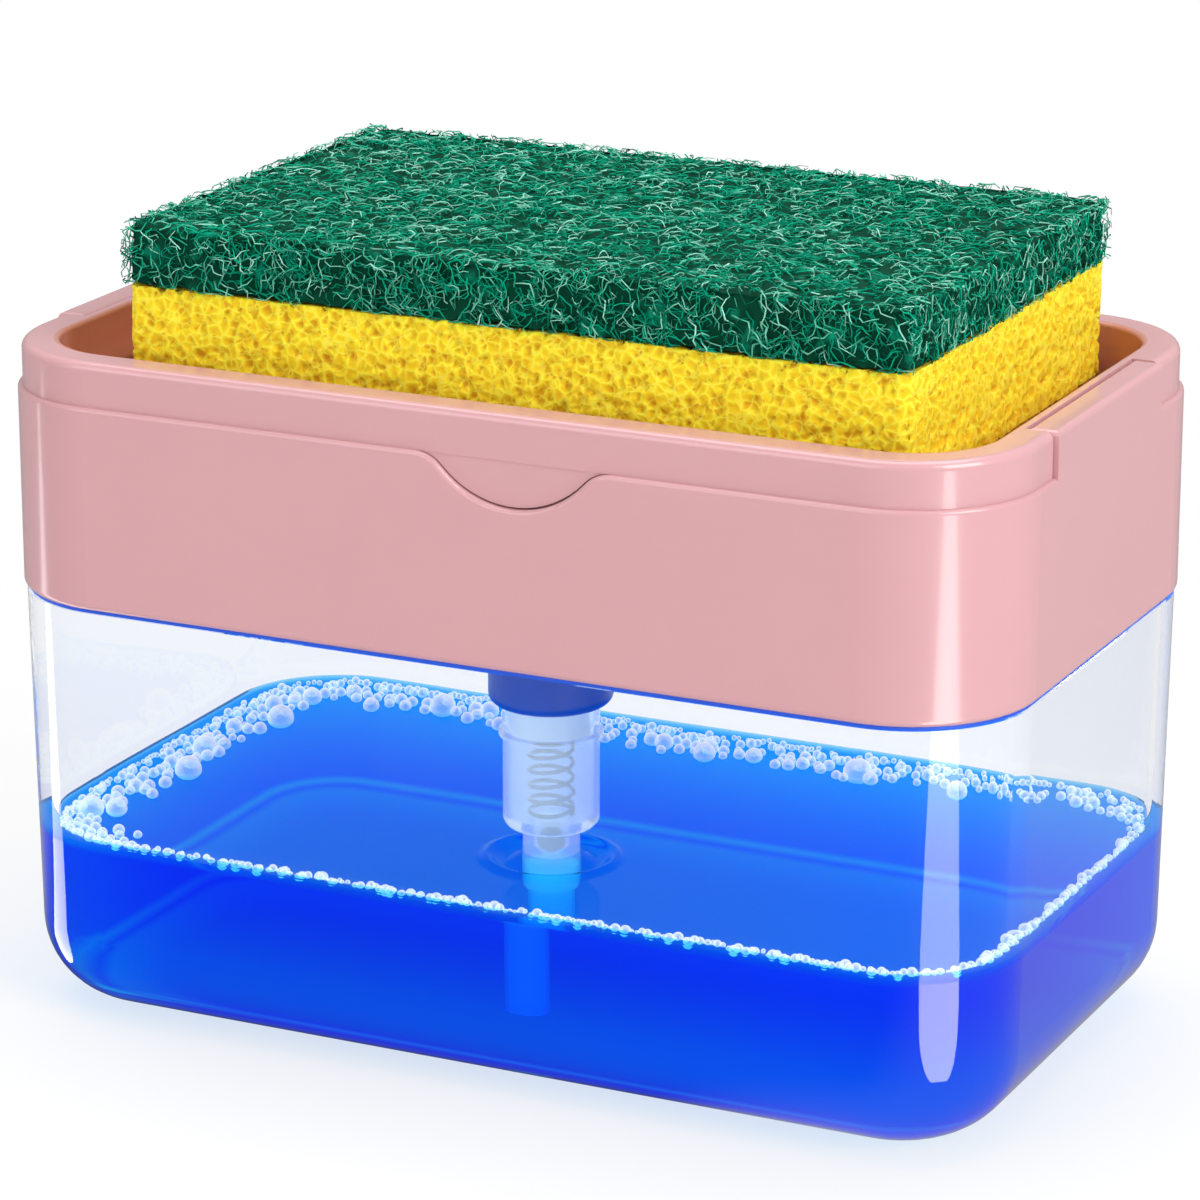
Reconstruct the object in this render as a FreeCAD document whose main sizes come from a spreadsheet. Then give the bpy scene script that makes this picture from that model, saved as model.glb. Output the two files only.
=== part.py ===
"""Soap pump caddy: a clear soap tank, a pink housing, a lift-off frame, a sprung press plate and a sponge.

The origin is on the table under the middle of the body. +X runs along the length, +Y to the back, +Z up.
All lengths are millimetres.
"""
import FreeCAD
import Part
import Sketcher
import math
import os

doc = FreeCAD.newDocument("soap_pump_caddy")

# Driving dimensions, one spreadsheet cell each
DIMENSIONS = {
    # body outline
    "body_length": 150.0,
    "body_width": 88.0,
    "corner_radius": 18.0,
    "fit_gap": 0.25,
    "cut_overrun": 2.0,
    # clear tank
    "tank_height": 61.0,
    "tank_inset": 0.4,
    "tank_wall": 2.6,
    "tank_floor": 2.4,
    "tank_draft": 0.9,
    "tank_bottom_round": 12.5,
    "tank_inner_round": 10.0,
    "neck_height": 8.0,
    "base_recess_margin": 19.0,
    "base_recess_depth": 0.6,
    # seal ring between tank and housing
    "seal_thickness": 0.45,
    "seal_inset": 0.8,
    "seal_slack": 0.15,
    # housing
    "band_height": 28.85,
    "band_wall": 1.7,
    "band_edge_round": 0.6,
    "band_foot_round": 1.0,
    "deck_gap": 1.5,
    "deck_thickness": 2.2,
    "deck_rib_length": 52.0,
    "deck_rib_height": 4.0,
    "deck_rib_thickness": 1.4,
    "vent_radius": 1.0,
    "vent_offset": 32.0,
    "ear_width": 40.0,
    "ear_edge_round": 0.8,
    "notch_offset": 8.0,
    "notch_width": 28.6,
    "notch_depth": 6.4,
    "notch_shoulder": 5.0,
    # lift-off frame
    "lip_height": 6.2,
    "lip_inset": 0.7,
    "lip_outer_round": 1.2,
    "lip_inner_round": 0.6,
    "rim_width": 5.3,
    "skirt_depth": 14.0,
    "skirt_wall": 1.4,
    "tongue_setback": 0.12,
    "lip_roof": 2.0,
    # press plate
    "plate_drop": 7.0,
    "plate_gap": 0.6,
    "plate_stop_gap": 2.8,
    "plate_thickness": 2.0,
    "plate_wall": 1.6,
    "plate_corner_rib": 1.2,
    "rib_height": 1.0,
    "rib_width": 1.8,
    "rib_margin": 5.0,
    "rib_end_margin": 8.4,
    "rib_count": 13,
    "socket_wall": 2.0,
    # pump
    "pump_x": 0.0,
    "pump_y": -15.5,
    "stroke": 6.0,
    "slide_gap": 0.08,
    "collar_bottom": 48.3,
    "collar_height": 9.2,
    "collar_wall": 0.9,
    "collar_floor": 1.2,
    "collar_round": 1.6,
    "thread_gap": 0.2,
    "well_radius": 7.6,
    "well_bore": 6.0,
    "well_web": 1.6,
    "flange_thickness": 1.5,
    "gasket_thickness": 1.0,
    "cylinder_radius": 6.75,
    "cylinder_bore": 5.5,
    "cylinder_bottom": 30.2,
    "cylinder_floor": 1.6,
    "cylinder_round": 1.6,
    "bead_drop": 5.5,
    "bead_size": 0.55,
    "inlet_neck_radius": 4.0,
    "inlet_neck_length": 10.4,
    "inlet_socket_depth": 4.4,
    "ball_radius": 2.0,
    "ball_lift": 1.0,
    "ball_gap": 0.3,
    "inlet_bore": 1.3,
    "retainer_lip": 0.25,
    "dip_tube_radius": 3.35,
    "dip_tube_wall": 0.75,
    "dip_tube_floor_gap": 3.1,
    "stem_radius": 3.0,
    "stem_bore": 1.9,
    "stem_foot_radius": 4.2,
    "stem_foot_height": 1.4,
    "guide_height": 4.0,
    "guide_spigot": 1.8,
    "guide_spigot_wall": 1.4,
    "piston_height": 4.4,
    "piston_hub": 2.4,
    "piston_lip": 0.7,
    "piston_rest_gap": 1.0,
    "rod_radius": 1.45,
    "rod_head_radius": 3.7,
    "rod_head_height": 1.1,
    "rod_plug_length": 9.0,
    "spring_radius": 3.05,
    "spring_wire": 0.6,
    "spring_turns": 6.5,
    "spring_seat_gap": 0.06,
    "nozzle_radius": 7.0,
    "nozzle_recess": 0.8,
    "nozzle_disc": 1.6,
    "nozzle_outlet": 0.9,
    "nozzle_spigot": 2.4,
    "nozzle_spigot_length": 1.4,
    # sponge
    "sponge_end_gap": 11.5,
    "sponge_side_gap": 2.0,
    "sponge_offset": 3.3,
    "sponge_gap": 0.3,
    "foam_thickness": 16.4,
    "pad_thickness": 8.3,
    "sponge_corner": 2.0,
}
SHEET_COLUMN = "A"
sheet = doc.addObject("Spreadsheet::Sheet", "dims")
for row, (alias, number) in enumerate(DIMENSIONS.items(), start=1):
    sheet.set(f"{SHEET_COLUMN}{row}", str(number))
    sheet.setAlias(f"{SHEET_COLUMN}{row}", alias)
doc.recompute()


class Size:
    """A length that carries the spreadsheet expression it comes from and its value."""

    def __init__(self, text, value):
        self.text = text
        self.value = value

    def combine(self, other, sign, value):
        right = other.text if isinstance(other, Size) else repr(other)
        return Size(f"({self.text} {sign} {right})", value)

    def __add__(self, other):
        return self.combine(other, "+", self.value + number_of(other))

    def __sub__(self, other):
        return self.combine(other, "-", self.value - number_of(other))

    def __mul__(self, other):
        return self.combine(other, "*", self.value * number_of(other))

    def __truediv__(self, other):
        return self.combine(other, "/", self.value / number_of(other))

    def __neg__(self):
        return Size(f"(0 - {self.text})", -self.value)


def number_of(value):
    return value.value if isinstance(value, Size) else float(value)


def cell(alias):
    return Size(f"dims.{alias}", float(getattr(sheet, alias)))


ZERO = Size("0", 0.0)

# Sizes and heights worked out from the cells
body_length, body_width, corner = cell("body_length"), cell("body_width"), cell("corner_radius")
gap, overrun = cell("fit_gap"), cell("cut_overrun")
shoulder = cell("tank_height")
neck_top = shoulder + cell("neck_height")
neck_inset = cell("band_wall") + gap
cavity_inset = cell("tank_inset") + cell("tank_wall")
band_bottom = shoulder + cell("seal_thickness")
band_top = band_bottom + cell("band_height")
deck_underside = neck_top + cell("deck_gap")
deck_top = deck_underside + cell("deck_thickness")
rim_top = band_top + cell("lip_height")
opening_inset = cell("lip_inset") + cell("rim_width")
opening_length = body_length - opening_inset * 2
opening_width = body_width - opening_inset * 2
opening_corner = corner - opening_inset
skirt_bottom = band_top - cell("skirt_depth")
ear_inner = opening_length / 2 + cell("skirt_wall") + gap
plate_top = rim_top - cell("plate_drop")
plate_face = plate_top - cell("rib_height")
plate_bottom = deck_top + cell("stroke") + cell("plate_stop_gap")
plate_ceiling = plate_face - cell("plate_thickness")
plate_length = opening_length - cell("plate_gap") * 2
plate_width = opening_width - cell("plate_gap") * 2
plate_corner = opening_corner - cell("plate_gap")
rib_span = plate_length - cell("rib_end_margin") * 2
pump_x, pump_y = cell("pump_x"), cell("pump_y")
flange_bottom = cell("collar_bottom") + cell("collar_floor")
flange_top = flange_bottom + cell("flange_thickness")
well_bottom = flange_top + cell("gasket_thickness")
guide_top = flange_top + cell("guide_height")
web_bottom = guide_top + gap
web_top = web_bottom + cell("well_web")
cylinder_inside = cell("cylinder_bottom") + cell("cylinder_floor")
neck_bottom = cell("cylinder_bottom") - cell("inlet_neck_length")
tube_top = neck_bottom + cell("inlet_socket_depth")
chamber_top = cylinder_inside - cell("retainer_lip") * 2
ball_centre = chamber_top - cell("ball_lift") - cell("ball_gap") - cell("ball_radius")
ball_seat = (cell("ball_radius") + cell("ball_gap") / 2) * math.sqrt(2) - cell("inlet_bore")
throat = ball_centre - ball_seat
tube_bottom = cell("tank_floor") + cell("dip_tube_floor_gap")
piston_top = flange_top - cell("guide_spigot") - cell("piston_rest_gap")
piston_bottom = piston_top - cell("piston_height")
rod_head_top = piston_bottom + cell("piston_lip")
rod_head_bottom = rod_head_top - cell("rod_head_height")
hub_bottom = rod_head_top + cell("slide_gap")
hub_top = hub_bottom + cell("piston_hub")
stem_bottom = hub_top + cell("slide_gap")
nozzle_floor = plate_face - cell("nozzle_recess")
stem_top = nozzle_floor - cell("nozzle_spigot_length") - gap
socket_bore = cell("stem_radius") + cell("slide_gap")
spring_bottom = cylinder_inside + cell("spring_seat_gap")
spring_top = rod_head_bottom - cell("spring_seat_gap")
sponge_bottom = plate_top + cell("sponge_gap")
foam_top = sponge_bottom + cell("foam_thickness")
sponge_length = opening_length - cell("sponge_end_gap") * 2
sponge_width = opening_width - cell("sponge_side_gap") * 2


# Helpers for bodies, sketches and features
def bind(feature, name, size):
    feature.setExpression(name, size.text)


def new_body(name):
    body = doc.addObject("PartDesign::Body", name)
    body.Label = name
    return body


def plane_of(body, role):
    return next(f for f in body.Origin.OriginFeatures if f.Role == role)


def new_sketch(body, name, level=ZERO, role="XY_Plane"):
    """A sketch on one of the body's own planes, moved along the plane's normal by level."""
    sketch = body.newObject("Sketcher::SketchObject", name)
    sketch.AttachmentSupport = [(plane_of(body, role), "")]
    sketch.MapMode = "FlatFace"
    sketch.AttachmentOffset = FreeCAD.Placement(FreeCAD.Vector(0, 0, level.value), FreeCAD.Rotation())
    bind(sketch, "AttachmentOffset.Base.z", level)
    return sketch


def constrain(sketch, kind, where, size):
    index = sketch.addConstraint(Sketcher.Constraint(kind, *where, size.value))
    sketch.setExpression(f"Constraints[{index}]", size.text)


def point(x, y):
    return FreeCAD.Vector(number_of(x), number_of(y), 0)


START, END, CENTRE = range(1, 4)
ORIGIN = (-START, START)
Z_AXIS = FreeCAD.Vector(0, 0, 1)


def rounded_rectangle(sketch, length, width, radius):
    """A rounded rectangle about the sketch's origin, tied to its length, width and corner radius."""
    half_x, half_y, r = length.value / 2, width.value / 2, radius.value
    first = sketch.GeometryCount
    corners = ((half_x, -half_y, -90), (half_x, half_y, 0), (-half_x, half_y, 90), (-half_x, -half_y, 180))
    for x, y, turn in corners:
        centre = FreeCAD.Vector(x - math.copysign(r, x), y - math.copysign(r, y), 0)
        circle = Part.Circle(centre, Z_AXIS, r)
        sketch.addGeometry(Part.ArcOfCircle(circle, math.radians(turn), math.radians(turn + 90)))
    for number in range(4):
        start = sketch.getPoint(first + number, END)
        finish = sketch.getPoint(first + (number + 1) % 4, START)
        sketch.addGeometry(Part.LineSegment(start, finish))
    for number in range(4):
        line, arc, following = first + 4 + number, first + number, first + (number + 1) % 4
        sketch.addConstraint(Sketcher.Constraint("Tangent", arc, END, line, START))
        sketch.addConstraint(Sketcher.Constraint("Tangent", line, END, following, START))
    for number in range(4):
        kind = "Vertical" if number % 2 == 0 else "Horizontal"
        sketch.addConstraint(Sketcher.Constraint(kind, first + 4 + number))
    for number in range(1, 4):
        sketch.addConstraint(Sketcher.Constraint("Equal", first, first + number))
    sketch.addConstraint(Sketcher.Constraint("Symmetric", first, CENTRE, first + 2, CENTRE, *ORIGIN))
    constrain(sketch, "DistanceX", (first + 6, START, first + 4, START), length)
    constrain(sketch, "DistanceY", (first + 7, START, first + 5, START), width)
    constrain(sketch, "Radius", (first,), radius)


def polygon(sketch, corners):
    """A closed outline of straight lines, each corner tied to its own x and y."""
    first, count = sketch.GeometryCount, len(corners)
    for number in range(count):
        here, there = corners[number], corners[(number + 1) % count]
        sketch.addGeometry(Part.LineSegment(point(*here), point(*there)))
    for number in range(count):
        following = first + (number + 1) % count
        sketch.addConstraint(Sketcher.Constraint("Coincident", first + number, END, following, START))
    for number, (x, y) in enumerate(corners):
        constrain(sketch, "DistanceX", (*ORIGIN, first + number, START), x)
        constrain(sketch, "DistanceY", (*ORIGIN, first + number, START), y)


def rectangle(sketch, low_x, high_x, low_y, high_y):
    polygon(sketch, [(low_x, low_y), (high_x, low_y), (high_x, high_y), (low_x, high_y)])


def circle(sketch, x, y, radius):
    index = sketch.addGeometry(Part.Circle(point(x, y), Z_AXIS, radius.value))
    constrain(sketch, "DistanceX", (*ORIGIN, index, CENTRE), x)
    constrain(sketch, "DistanceY", (*ORIGIN, index, CENTRE), y)
    constrain(sketch, "Radius", (index,), radius)


def volume_of(body):
    return 0.0 if body.Shape.isNull() else body.Shape.Volume


def extrude(body, kind, name, sketch, depth, upward, draft=None):
    """A pad or pocket of a level sketch, up or down from it, with its change of volume checked."""
    before = volume_of(body)
    feature = body.newObject(f"PartDesign::{kind}", name)
    feature.Profile = sketch
    feature.Length = depth.value
    bind(feature, "Length", depth)
    feature.Reversed = upward if kind == "Pocket" else not upward
    if draft is not None:
        bind(feature, "TaperAngle", draft)
    doc.recompute()
    grown = volume_of(body) - before
    if (grown if kind == "Pad" else -grown) <= 0:
        raise RuntimeError(f"{name} changed nothing")
    return feature


def pad(body, name, sketch, depth, upward=True, draft=None):
    return extrude(body, "Pad", name, sketch, depth, upward, draft)


def pocket(body, name, sketch, depth, upward=False, draft=None):
    return extrude(body, "Pocket", name, sketch, depth, upward, draft)


def rounded(body, name, base, chosen, radius):
    """Rounds the edges of a feature that the test chosen picks."""
    names = [f"Edge{n}" for n, edge in enumerate(base.Shape.Edges, start=1) if chosen(edge)]
    feature = body.newObject("PartDesign::Fillet", name)
    feature.Base = (base, names)
    feature.Radius = radius.value
    bind(feature, "Radius", radius)
    doc.recompute()
    return feature


CLOSE = 1e-4


def level_edge(height):
    """A test for edges that lie flat at a height."""

    def chosen(edge):
        box = edge.BoundBox
        return abs(box.ZMin - height.value) < CLOSE and abs(box.ZMax - height.value) < CLOSE

    return chosen


def off_outline(vertex, inset):
    """Distance of a vertex, seen from above, from the body's outline moved in by inset."""
    radius = corner.value - inset.value
    across = abs(vertex.X) - body_length.value / 2 + corner.value
    along = abs(vertex.Y) - body_width.value / 2 + corner.value
    outside = math.hypot(max(across, 0), max(along, 0))
    return outside + min(max(across, along), 0) - radius


def outline_edge(inset, low, high):
    """A test for edges on the body's outline, moved in by inset, between two heights."""

    def chosen(edge):
        box = edge.BoundBox
        in_range = box.ZMin > low.value - CLOSE and box.ZMax < high.value + CLOSE
        return in_range and all(abs(off_outline(v, inset)) < CLOSE for v in edge.Vertexes)

    return chosen


def outline_pad(name, level, depth, inset, upward=True):
    """A new body padded from the body's outline, moved in by inset."""
    body = new_body(name)
    sketch = new_sketch(body, f"{name}_outline", level)
    rounded_rectangle(sketch, body_length - inset * 2, body_width - inset * 2, corner - inset)
    pad(body, f"{name}_block", sketch, depth, upward)
    return body


def outline_pocket(body, name, level, depth, inset, upward):
    sketch = new_sketch(body, f"{name}_outline", level)
    rounded_rectangle(sketch, body_length - inset * 2, body_width - inset * 2, corner - inset)
    return pocket(body, name, sketch, depth, upward)


def turned(name, outline):
    """A body revolved about the pump's axis from an outline of radius and height pairs."""
    body = new_body(name)
    sketch = new_sketch(body, f"{name}_profile", role="XZ_Plane")
    polygon(sketch, outline)
    feature = body.newObject("PartDesign::Revolution", f"{name}_turn")
    feature.Profile = sketch
    feature.ReferenceAxis = (sketch, ["V_Axis"])
    feature.Angle = 360
    on_pump_axis(body)
    doc.recompute()
    return body, feature


def on_pump_axis(feature):
    bind(feature, "Placement.Base.x", pump_x)
    bind(feature, "Placement.Base.y", pump_y)


# Clear tank: a drafted, round-bottomed box with a thin neck that the housing drops over
def make_tank():
    body = new_body("tank")
    inset = cell("tank_inset")
    walls = new_sketch(body, "tank_walls", shoulder)
    rounded_rectangle(walls, body_length - inset * 2, body_width - inset * 2, corner - inset)
    pad(body, "tank_block", walls, shoulder, upward=False, draft=-cell("tank_draft"))
    neck = new_sketch(body, "tank_neck_outline", shoulder)
    rounded_rectangle(neck, body_length - neck_inset * 2, body_width - neck_inset * 2, corner - neck_inset)
    pad(body, "tank_neck", neck, cell("neck_height"))
    mouth = new_sketch(body, "tank_mouth", neck_top)
    inner_length, inner_width = body_length - cavity_inset * 2, body_width - cavity_inset * 2
    rounded_rectangle(mouth, inner_length, inner_width, corner - cavity_inset)
    depth = neck_top - cell("tank_floor")
    cavity = pocket(body, "tank_cavity", mouth, depth, draft=-cell("tank_draft"))
    floor = level_edge(cell("tank_floor"))
    inside = rounded(body, "tank_inside_rounding", cavity, floor, cell("tank_inner_round"))
    rounded(body, "tank_bottom_rounding", inside, level_edge(ZERO), cell("tank_bottom_round"))
    margin = cell("base_recess_margin")
    recess = new_sketch(body, "tank_base_recess")
    rounded_rectangle(recess, body_length - margin * 2, body_width - margin * 2, cell("tank_bottom_round"))
    pocket(body, "tank_base", recess, cell("base_recess_depth"), upward=True)
    return body


# Seal ring that lies on the tank's shoulder
def make_seal_ring():
    thickness = cell("seal_thickness")
    body = outline_pad("seal_ring", shoulder, thickness, cell("seal_inset"))
    outline_pocket(body, "seal_opening", band_bottom, thickness, neck_inset - cell("seal_slack"), False)
    return body


def notch_outline(sketch, margin=ZERO):
    """The finger notch, smaller by margin: a dip whose rounded shoulders leave the edge smoothly."""
    half, depth = cell("notch_width") / 2 - margin, cell("notch_depth") - margin
    rounding = cell("notch_shoulder")
    middle = cell("notch_offset")
    reach = (half.value ** 2 + depth.value ** 2) / (2 * depth.value)
    lean = math.atan2(half.value, reach - depth.value)
    top, r = band_top.value, rounding.value
    dip_centre = point(middle, top - depth.value + reach - r)
    low, high = -math.pi / 2 - lean, -math.pi / 2 + lean
    dip = sketch.addGeometry(Part.ArcOfCircle(Part.Circle(dip_centre, Z_AXIS, reach - r), low, high))
    shoulders = []
    for side in (1, -1):
        centre = point(middle.value + side * half.value, top - r)
        start, finish = (math.pi / 2, math.pi / 2 + lean) if side > 0 else (math.pi / 2 - lean, math.pi / 2)
        shoulders.append(sketch.addGeometry(Part.ArcOfCircle(Part.Circle(centre, Z_AXIS, r), start, finish)))
    right, left = shoulders
    over = band_top + overrun
    rise = sketch.addGeometry(Part.LineSegment(sketch.getPoint(right, START), point(middle + half, over)))
    cap = sketch.addGeometry(Part.LineSegment(point(middle + half, over), point(middle - half, over)))
    fall = sketch.addGeometry(Part.LineSegment(point(middle - half, over), sketch.getPoint(left, END)))
    add = sketch.addConstraint
    add(Sketcher.Constraint("Tangent", dip, END, right, END))
    add(Sketcher.Constraint("Tangent", dip, START, left, START))
    add(Sketcher.Constraint("Coincident", right, START, rise, START))
    add(Sketcher.Constraint("Coincident", rise, END, cap, START))
    add(Sketcher.Constraint("Coincident", cap, END, fall, START))
    add(Sketcher.Constraint("Coincident", fall, END, left, END))
    add(Sketcher.Constraint("Horizontal", cap))
    add(Sketcher.Constraint("Vertical", rise))
    add(Sketcher.Constraint("Vertical", fall))
    add(Sketcher.Constraint("Equal", right, left))
    add(Sketcher.Constraint("Vertical", right, CENTRE, right, START))
    add(Sketcher.Constraint("Vertical", left, CENTRE, left, END))
    constrain(sketch, "Radius", (right,), rounding)
    constrain(sketch, "DistanceX", (*ORIGIN, right, START), middle + half)
    constrain(sketch, "DistanceY", (*ORIGIN, right, START), band_top)
    constrain(sketch, "DistanceX", (*ORIGIN, left, END), middle - half)
    constrain(sketch, "DistanceY", (*ORIGIN, left, END), band_top)
    constrain(sketch, "DistanceY", (*ORIGIN, cap, START), over)
    deepest = Size(
        f"(({half.text} ^ 2 + {depth.text} ^ 2) / (2 * {depth.text}) - {rounding.text})", reach - r
    )
    constrain(sketch, "Radius", (dip,), deepest)


# Housing: the pink band, its inner deck, the ears that key the frame and the well that holds the pump
def make_housing():
    body = outline_pad("housing", band_bottom, cell("band_height"), ZERO)
    wall = cell("band_wall")
    outline_pocket(body, "housing_upper_hollow", band_top, band_top - deck_top, wall, False)
    outline_pocket(body, "housing_lower_hollow", band_bottom, deck_underside - band_bottom, wall, True)
    half_ear = cell("ear_width") / 2
    for side, name in ((1, "right"), (-1, "left")):
        ear = new_sketch(body, f"{name}_ear_outline", deck_underside)
        near, far = ear_inner * side, body_length / 2 * side
        low, high = (near, far) if side > 0 else (far, near)
        rectangle(ear, low, high, -half_ear, half_ear)
        pad(body, f"{name}_ear", ear, rim_top - deck_underside)
    well = new_sketch(body, "pump_well_outline", deck_underside)
    circle(well, pump_x, pump_y, cell("well_radius"))
    pad(body, "pump_well", well, deck_underside - well_bottom, upward=False)
    half_long, half_thin = cell("deck_rib_length") / 2, cell("deck_rib_thickness") / 2
    for name, x, y in (("long_rib", half_long, half_thin), ("cross_rib", half_thin, half_long / 2)):
        rib = new_sketch(body, f"deck_{name}_outline", deck_underside)
        rectangle(rib, pump_x - x, pump_x + x, pump_y - y, pump_y + y)
        pad(body, f"deck_{name}", rib, cell("deck_rib_height"), upward=False)
    bores = (
        ("well_top_bore", deck_top, deck_top - web_top, cell("well_bore"), False),
        ("well_bottom_bore", well_bottom, web_bottom - well_bottom, cell("well_bore"), True),
        ("stem_hole", web_top, cell("well_web"), cell("stem_radius") + gap, False),
    )
    for name, level, depth, radius, upward in bores:
        bore = new_sketch(body, f"{name}_outline", level)
        circle(bore, pump_x, pump_y, radius)
        pocket(body, name, bore, depth, upward)
    vent = new_sketch(body, "air_vent_outline", deck_top)
    circle(vent, cell("vent_offset"), ZERO, cell("vent_radius"))
    pocket(body, "air_vent", vent, cell("deck_thickness"))
    notch = new_sketch(body, "finger_notch_outline", body_width / 2, role="XZ_Plane")
    notch_outline(notch)
    before = volume_of(body)
    cut = body.newObject("PartDesign::Pocket", "finger_notch")
    cut.Profile = notch
    bind(cut, "Length", wall + gap)
    doc.recompute()
    if volume_of(body) >= before:
        raise RuntimeError("finger_notch changed nothing")
    lower = outline_edge(ZERO, band_bottom, band_bottom)
    foot = rounded(body, "band_foot", cut, lower, cell("band_foot_round"))
    upper = outline_edge(ZERO, band_top - cell("notch_depth"), band_top)
    edge = rounded(body, "band_edge", foot, upper, cell("band_edge_round"))
    rounded(body, "ear_edges", edge, level_edge(rim_top), cell("ear_edge_round"))
    return body


# Lift-off frame: the rim round the sponge, a skirt and a tongue inside the band, and recesses for the ears
def make_frame():
    body = outline_pad("top_frame", band_top, cell("lip_height"), cell("lip_inset"))
    skirt = new_sketch(body, "skirt_outline", band_top)
    rounded_rectangle(skirt, body_length - neck_inset * 2, body_width - neck_inset * 2, corner - neck_inset)
    pad(body, "skirt", skirt, cell("skirt_depth"), upward=False)
    face = cell("lip_inset") + cell("tongue_setback")
    tongue = new_sketch(body, "notch_tongue_outline", body_width / 2 - face, role="XZ_Plane")
    notch_outline(tongue, gap)
    pad(body, "notch_tongue", tongue, neck_inset - face + gap, upward=False)
    outline_pocket(body, "sponge_opening", rim_top, rim_top - skirt_bottom, opening_inset, False)
    half_ear = cell("ear_width") / 2 + gap
    wall_face = opening_length / 2 + cell("skirt_wall")
    reach = body_length / 2 + overrun
    for side, name in ((1, "right"), (-1, "left")):
        slot = new_sketch(body, f"{name}_ear_slot_outline", rim_top)
        near, far = wall_face * side, reach * side
        low, high = (near, far) if side > 0 else (far, near)
        rectangle(slot, low, high, -half_ear, half_ear)
        pocket(body, f"{name}_ear_slot", slot, rim_top - skirt_bottom)
    groove = new_sketch(body, "core_groove_outline", skirt_bottom)
    for inset in (neck_inset + cell("skirt_wall"), opening_inset - cell("skirt_wall")):
        rounded_rectangle(groove, body_length - inset * 2, body_width - inset * 2, corner - inset)
    depth = rim_top - cell("lip_roof") - skirt_bottom
    core = pocket(body, "core_groove", groove, depth, upward=True)
    outer = outline_edge(cell("lip_inset"), rim_top, rim_top)
    edge = rounded(body, "lip_edge", core, outer, cell("lip_outer_round"))
    inner = outline_edge(opening_inset, rim_top, rim_top)
    rounded(body, "opening_edge", edge, inner, cell("lip_inner_round"))
    return body


# Press plate: a shallow ribbed tray that fills the frame and carries the pump's stem in a socket
def make_press_plate():
    body = new_body("press_plate")
    outline = new_sketch(body, "plate_outline", plate_bottom)
    rounded_rectangle(outline, plate_length, plate_width, plate_corner)
    pad(body, "plate_block", outline, plate_face - plate_bottom)
    wall = cell("plate_wall")
    hollow = new_sketch(body, "plate_hollow_outline", plate_bottom)
    rounded_rectangle(hollow, plate_length - wall * 2, plate_width - wall * 2, plate_corner - wall)
    pocket(body, "plate_hollow", hollow, plate_ceiling - plate_bottom, upward=True)
    half_x, half_y = plate_length / 2 - wall / 2, plate_width / 2 - wall / 2
    half_thin = cell("plate_corner_rib") / 2
    stiffeners = (
        ("long_stiffener", -half_x, half_x, pump_y - half_thin, pump_y + half_thin),
        ("cross_stiffener", pump_x - half_thin, pump_x + half_thin, -half_y, half_y),
    )
    for name, low_x, high_x, low_y, high_y in stiffeners:
        web = new_sketch(body, f"{name}_outline", plate_ceiling)
        rectangle(web, low_x, high_x, low_y, high_y)
        pad(body, name, web, (plate_ceiling - plate_bottom) / 2, upward=False)
    socket = new_sketch(body, "stem_socket_outline", plate_ceiling)
    circle(socket, pump_x, pump_y, socket_bore + cell("socket_wall"))
    pad(body, "stem_socket", socket, plate_ceiling - plate_bottom, upward=False)
    rib_reach = plate_width / 2 - cell("rib_margin")
    first_rib = -(rib_span / 2)
    half_rib = cell("rib_width") / 2
    rib = new_sketch(body, "drain_rib_outline", plate_face)
    rectangle(rib, first_rib - half_rib, first_rib + half_rib, -rib_reach, rib_reach)
    one = pad(body, "drain_rib", rib, cell("rib_height"))
    ribs = body.newObject("PartDesign::LinearPattern", "drain_ribs")
    ribs.Originals = [one]
    ribs.Direction = (rib, ["H_Axis"])
    bind(ribs, "Length", rib_span)
    bind(ribs, "Occurrences", cell("rib_count"))
    body.Tip = ribs
    doc.recompute()
    seat, hole = cell("nozzle_radius") + cell("slide_gap"), cell("nozzle_spigot") + cell("slide_gap")
    bores = (
        ("nozzle_seat", plate_top, plate_top - nozzle_floor, seat, False),
        ("nozzle_hole", nozzle_floor, nozzle_floor - plate_bottom, hole, False),
        ("stem_bore", plate_bottom, stem_top - plate_bottom, socket_bore, True),
    )
    for name, level, depth, radius, upward in bores:
        bore = new_sketch(body, f"{name}_outline", level)
        circle(bore, pump_x, pump_y, radius)
        pocket(body, name, bore, depth, upward)
    return body


# Pump pieces, each revolved about the pump's axis
def make_outlet_nozzle():
    disc_top = nozzle_floor + cell("nozzle_disc")
    bottom = nozzle_floor - cell("nozzle_spigot_length")
    outlet, spigot, radius = cell("nozzle_outlet"), cell("nozzle_spigot"), cell("nozzle_radius")
    funnel = outlet * 2
    return turned("outlet_nozzle", [
        (outlet, bottom), (spigot, bottom), (spigot, nozzle_floor), (radius, nozzle_floor),
        (radius, disc_top), (funnel, disc_top), (outlet, disc_top - outlet),
    ])


def make_stem():
    radius, bore, foot = cell("stem_radius"), cell("stem_bore"), cell("stem_foot_radius")
    foot_top = stem_bottom + cell("stem_foot_height")
    return turned("pump_stem", [
        (bore, stem_bottom), (foot, stem_bottom), (foot, foot_top), (radius, foot_top + foot - radius),
        (radius, stem_top), (bore, stem_top),
    ])


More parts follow.
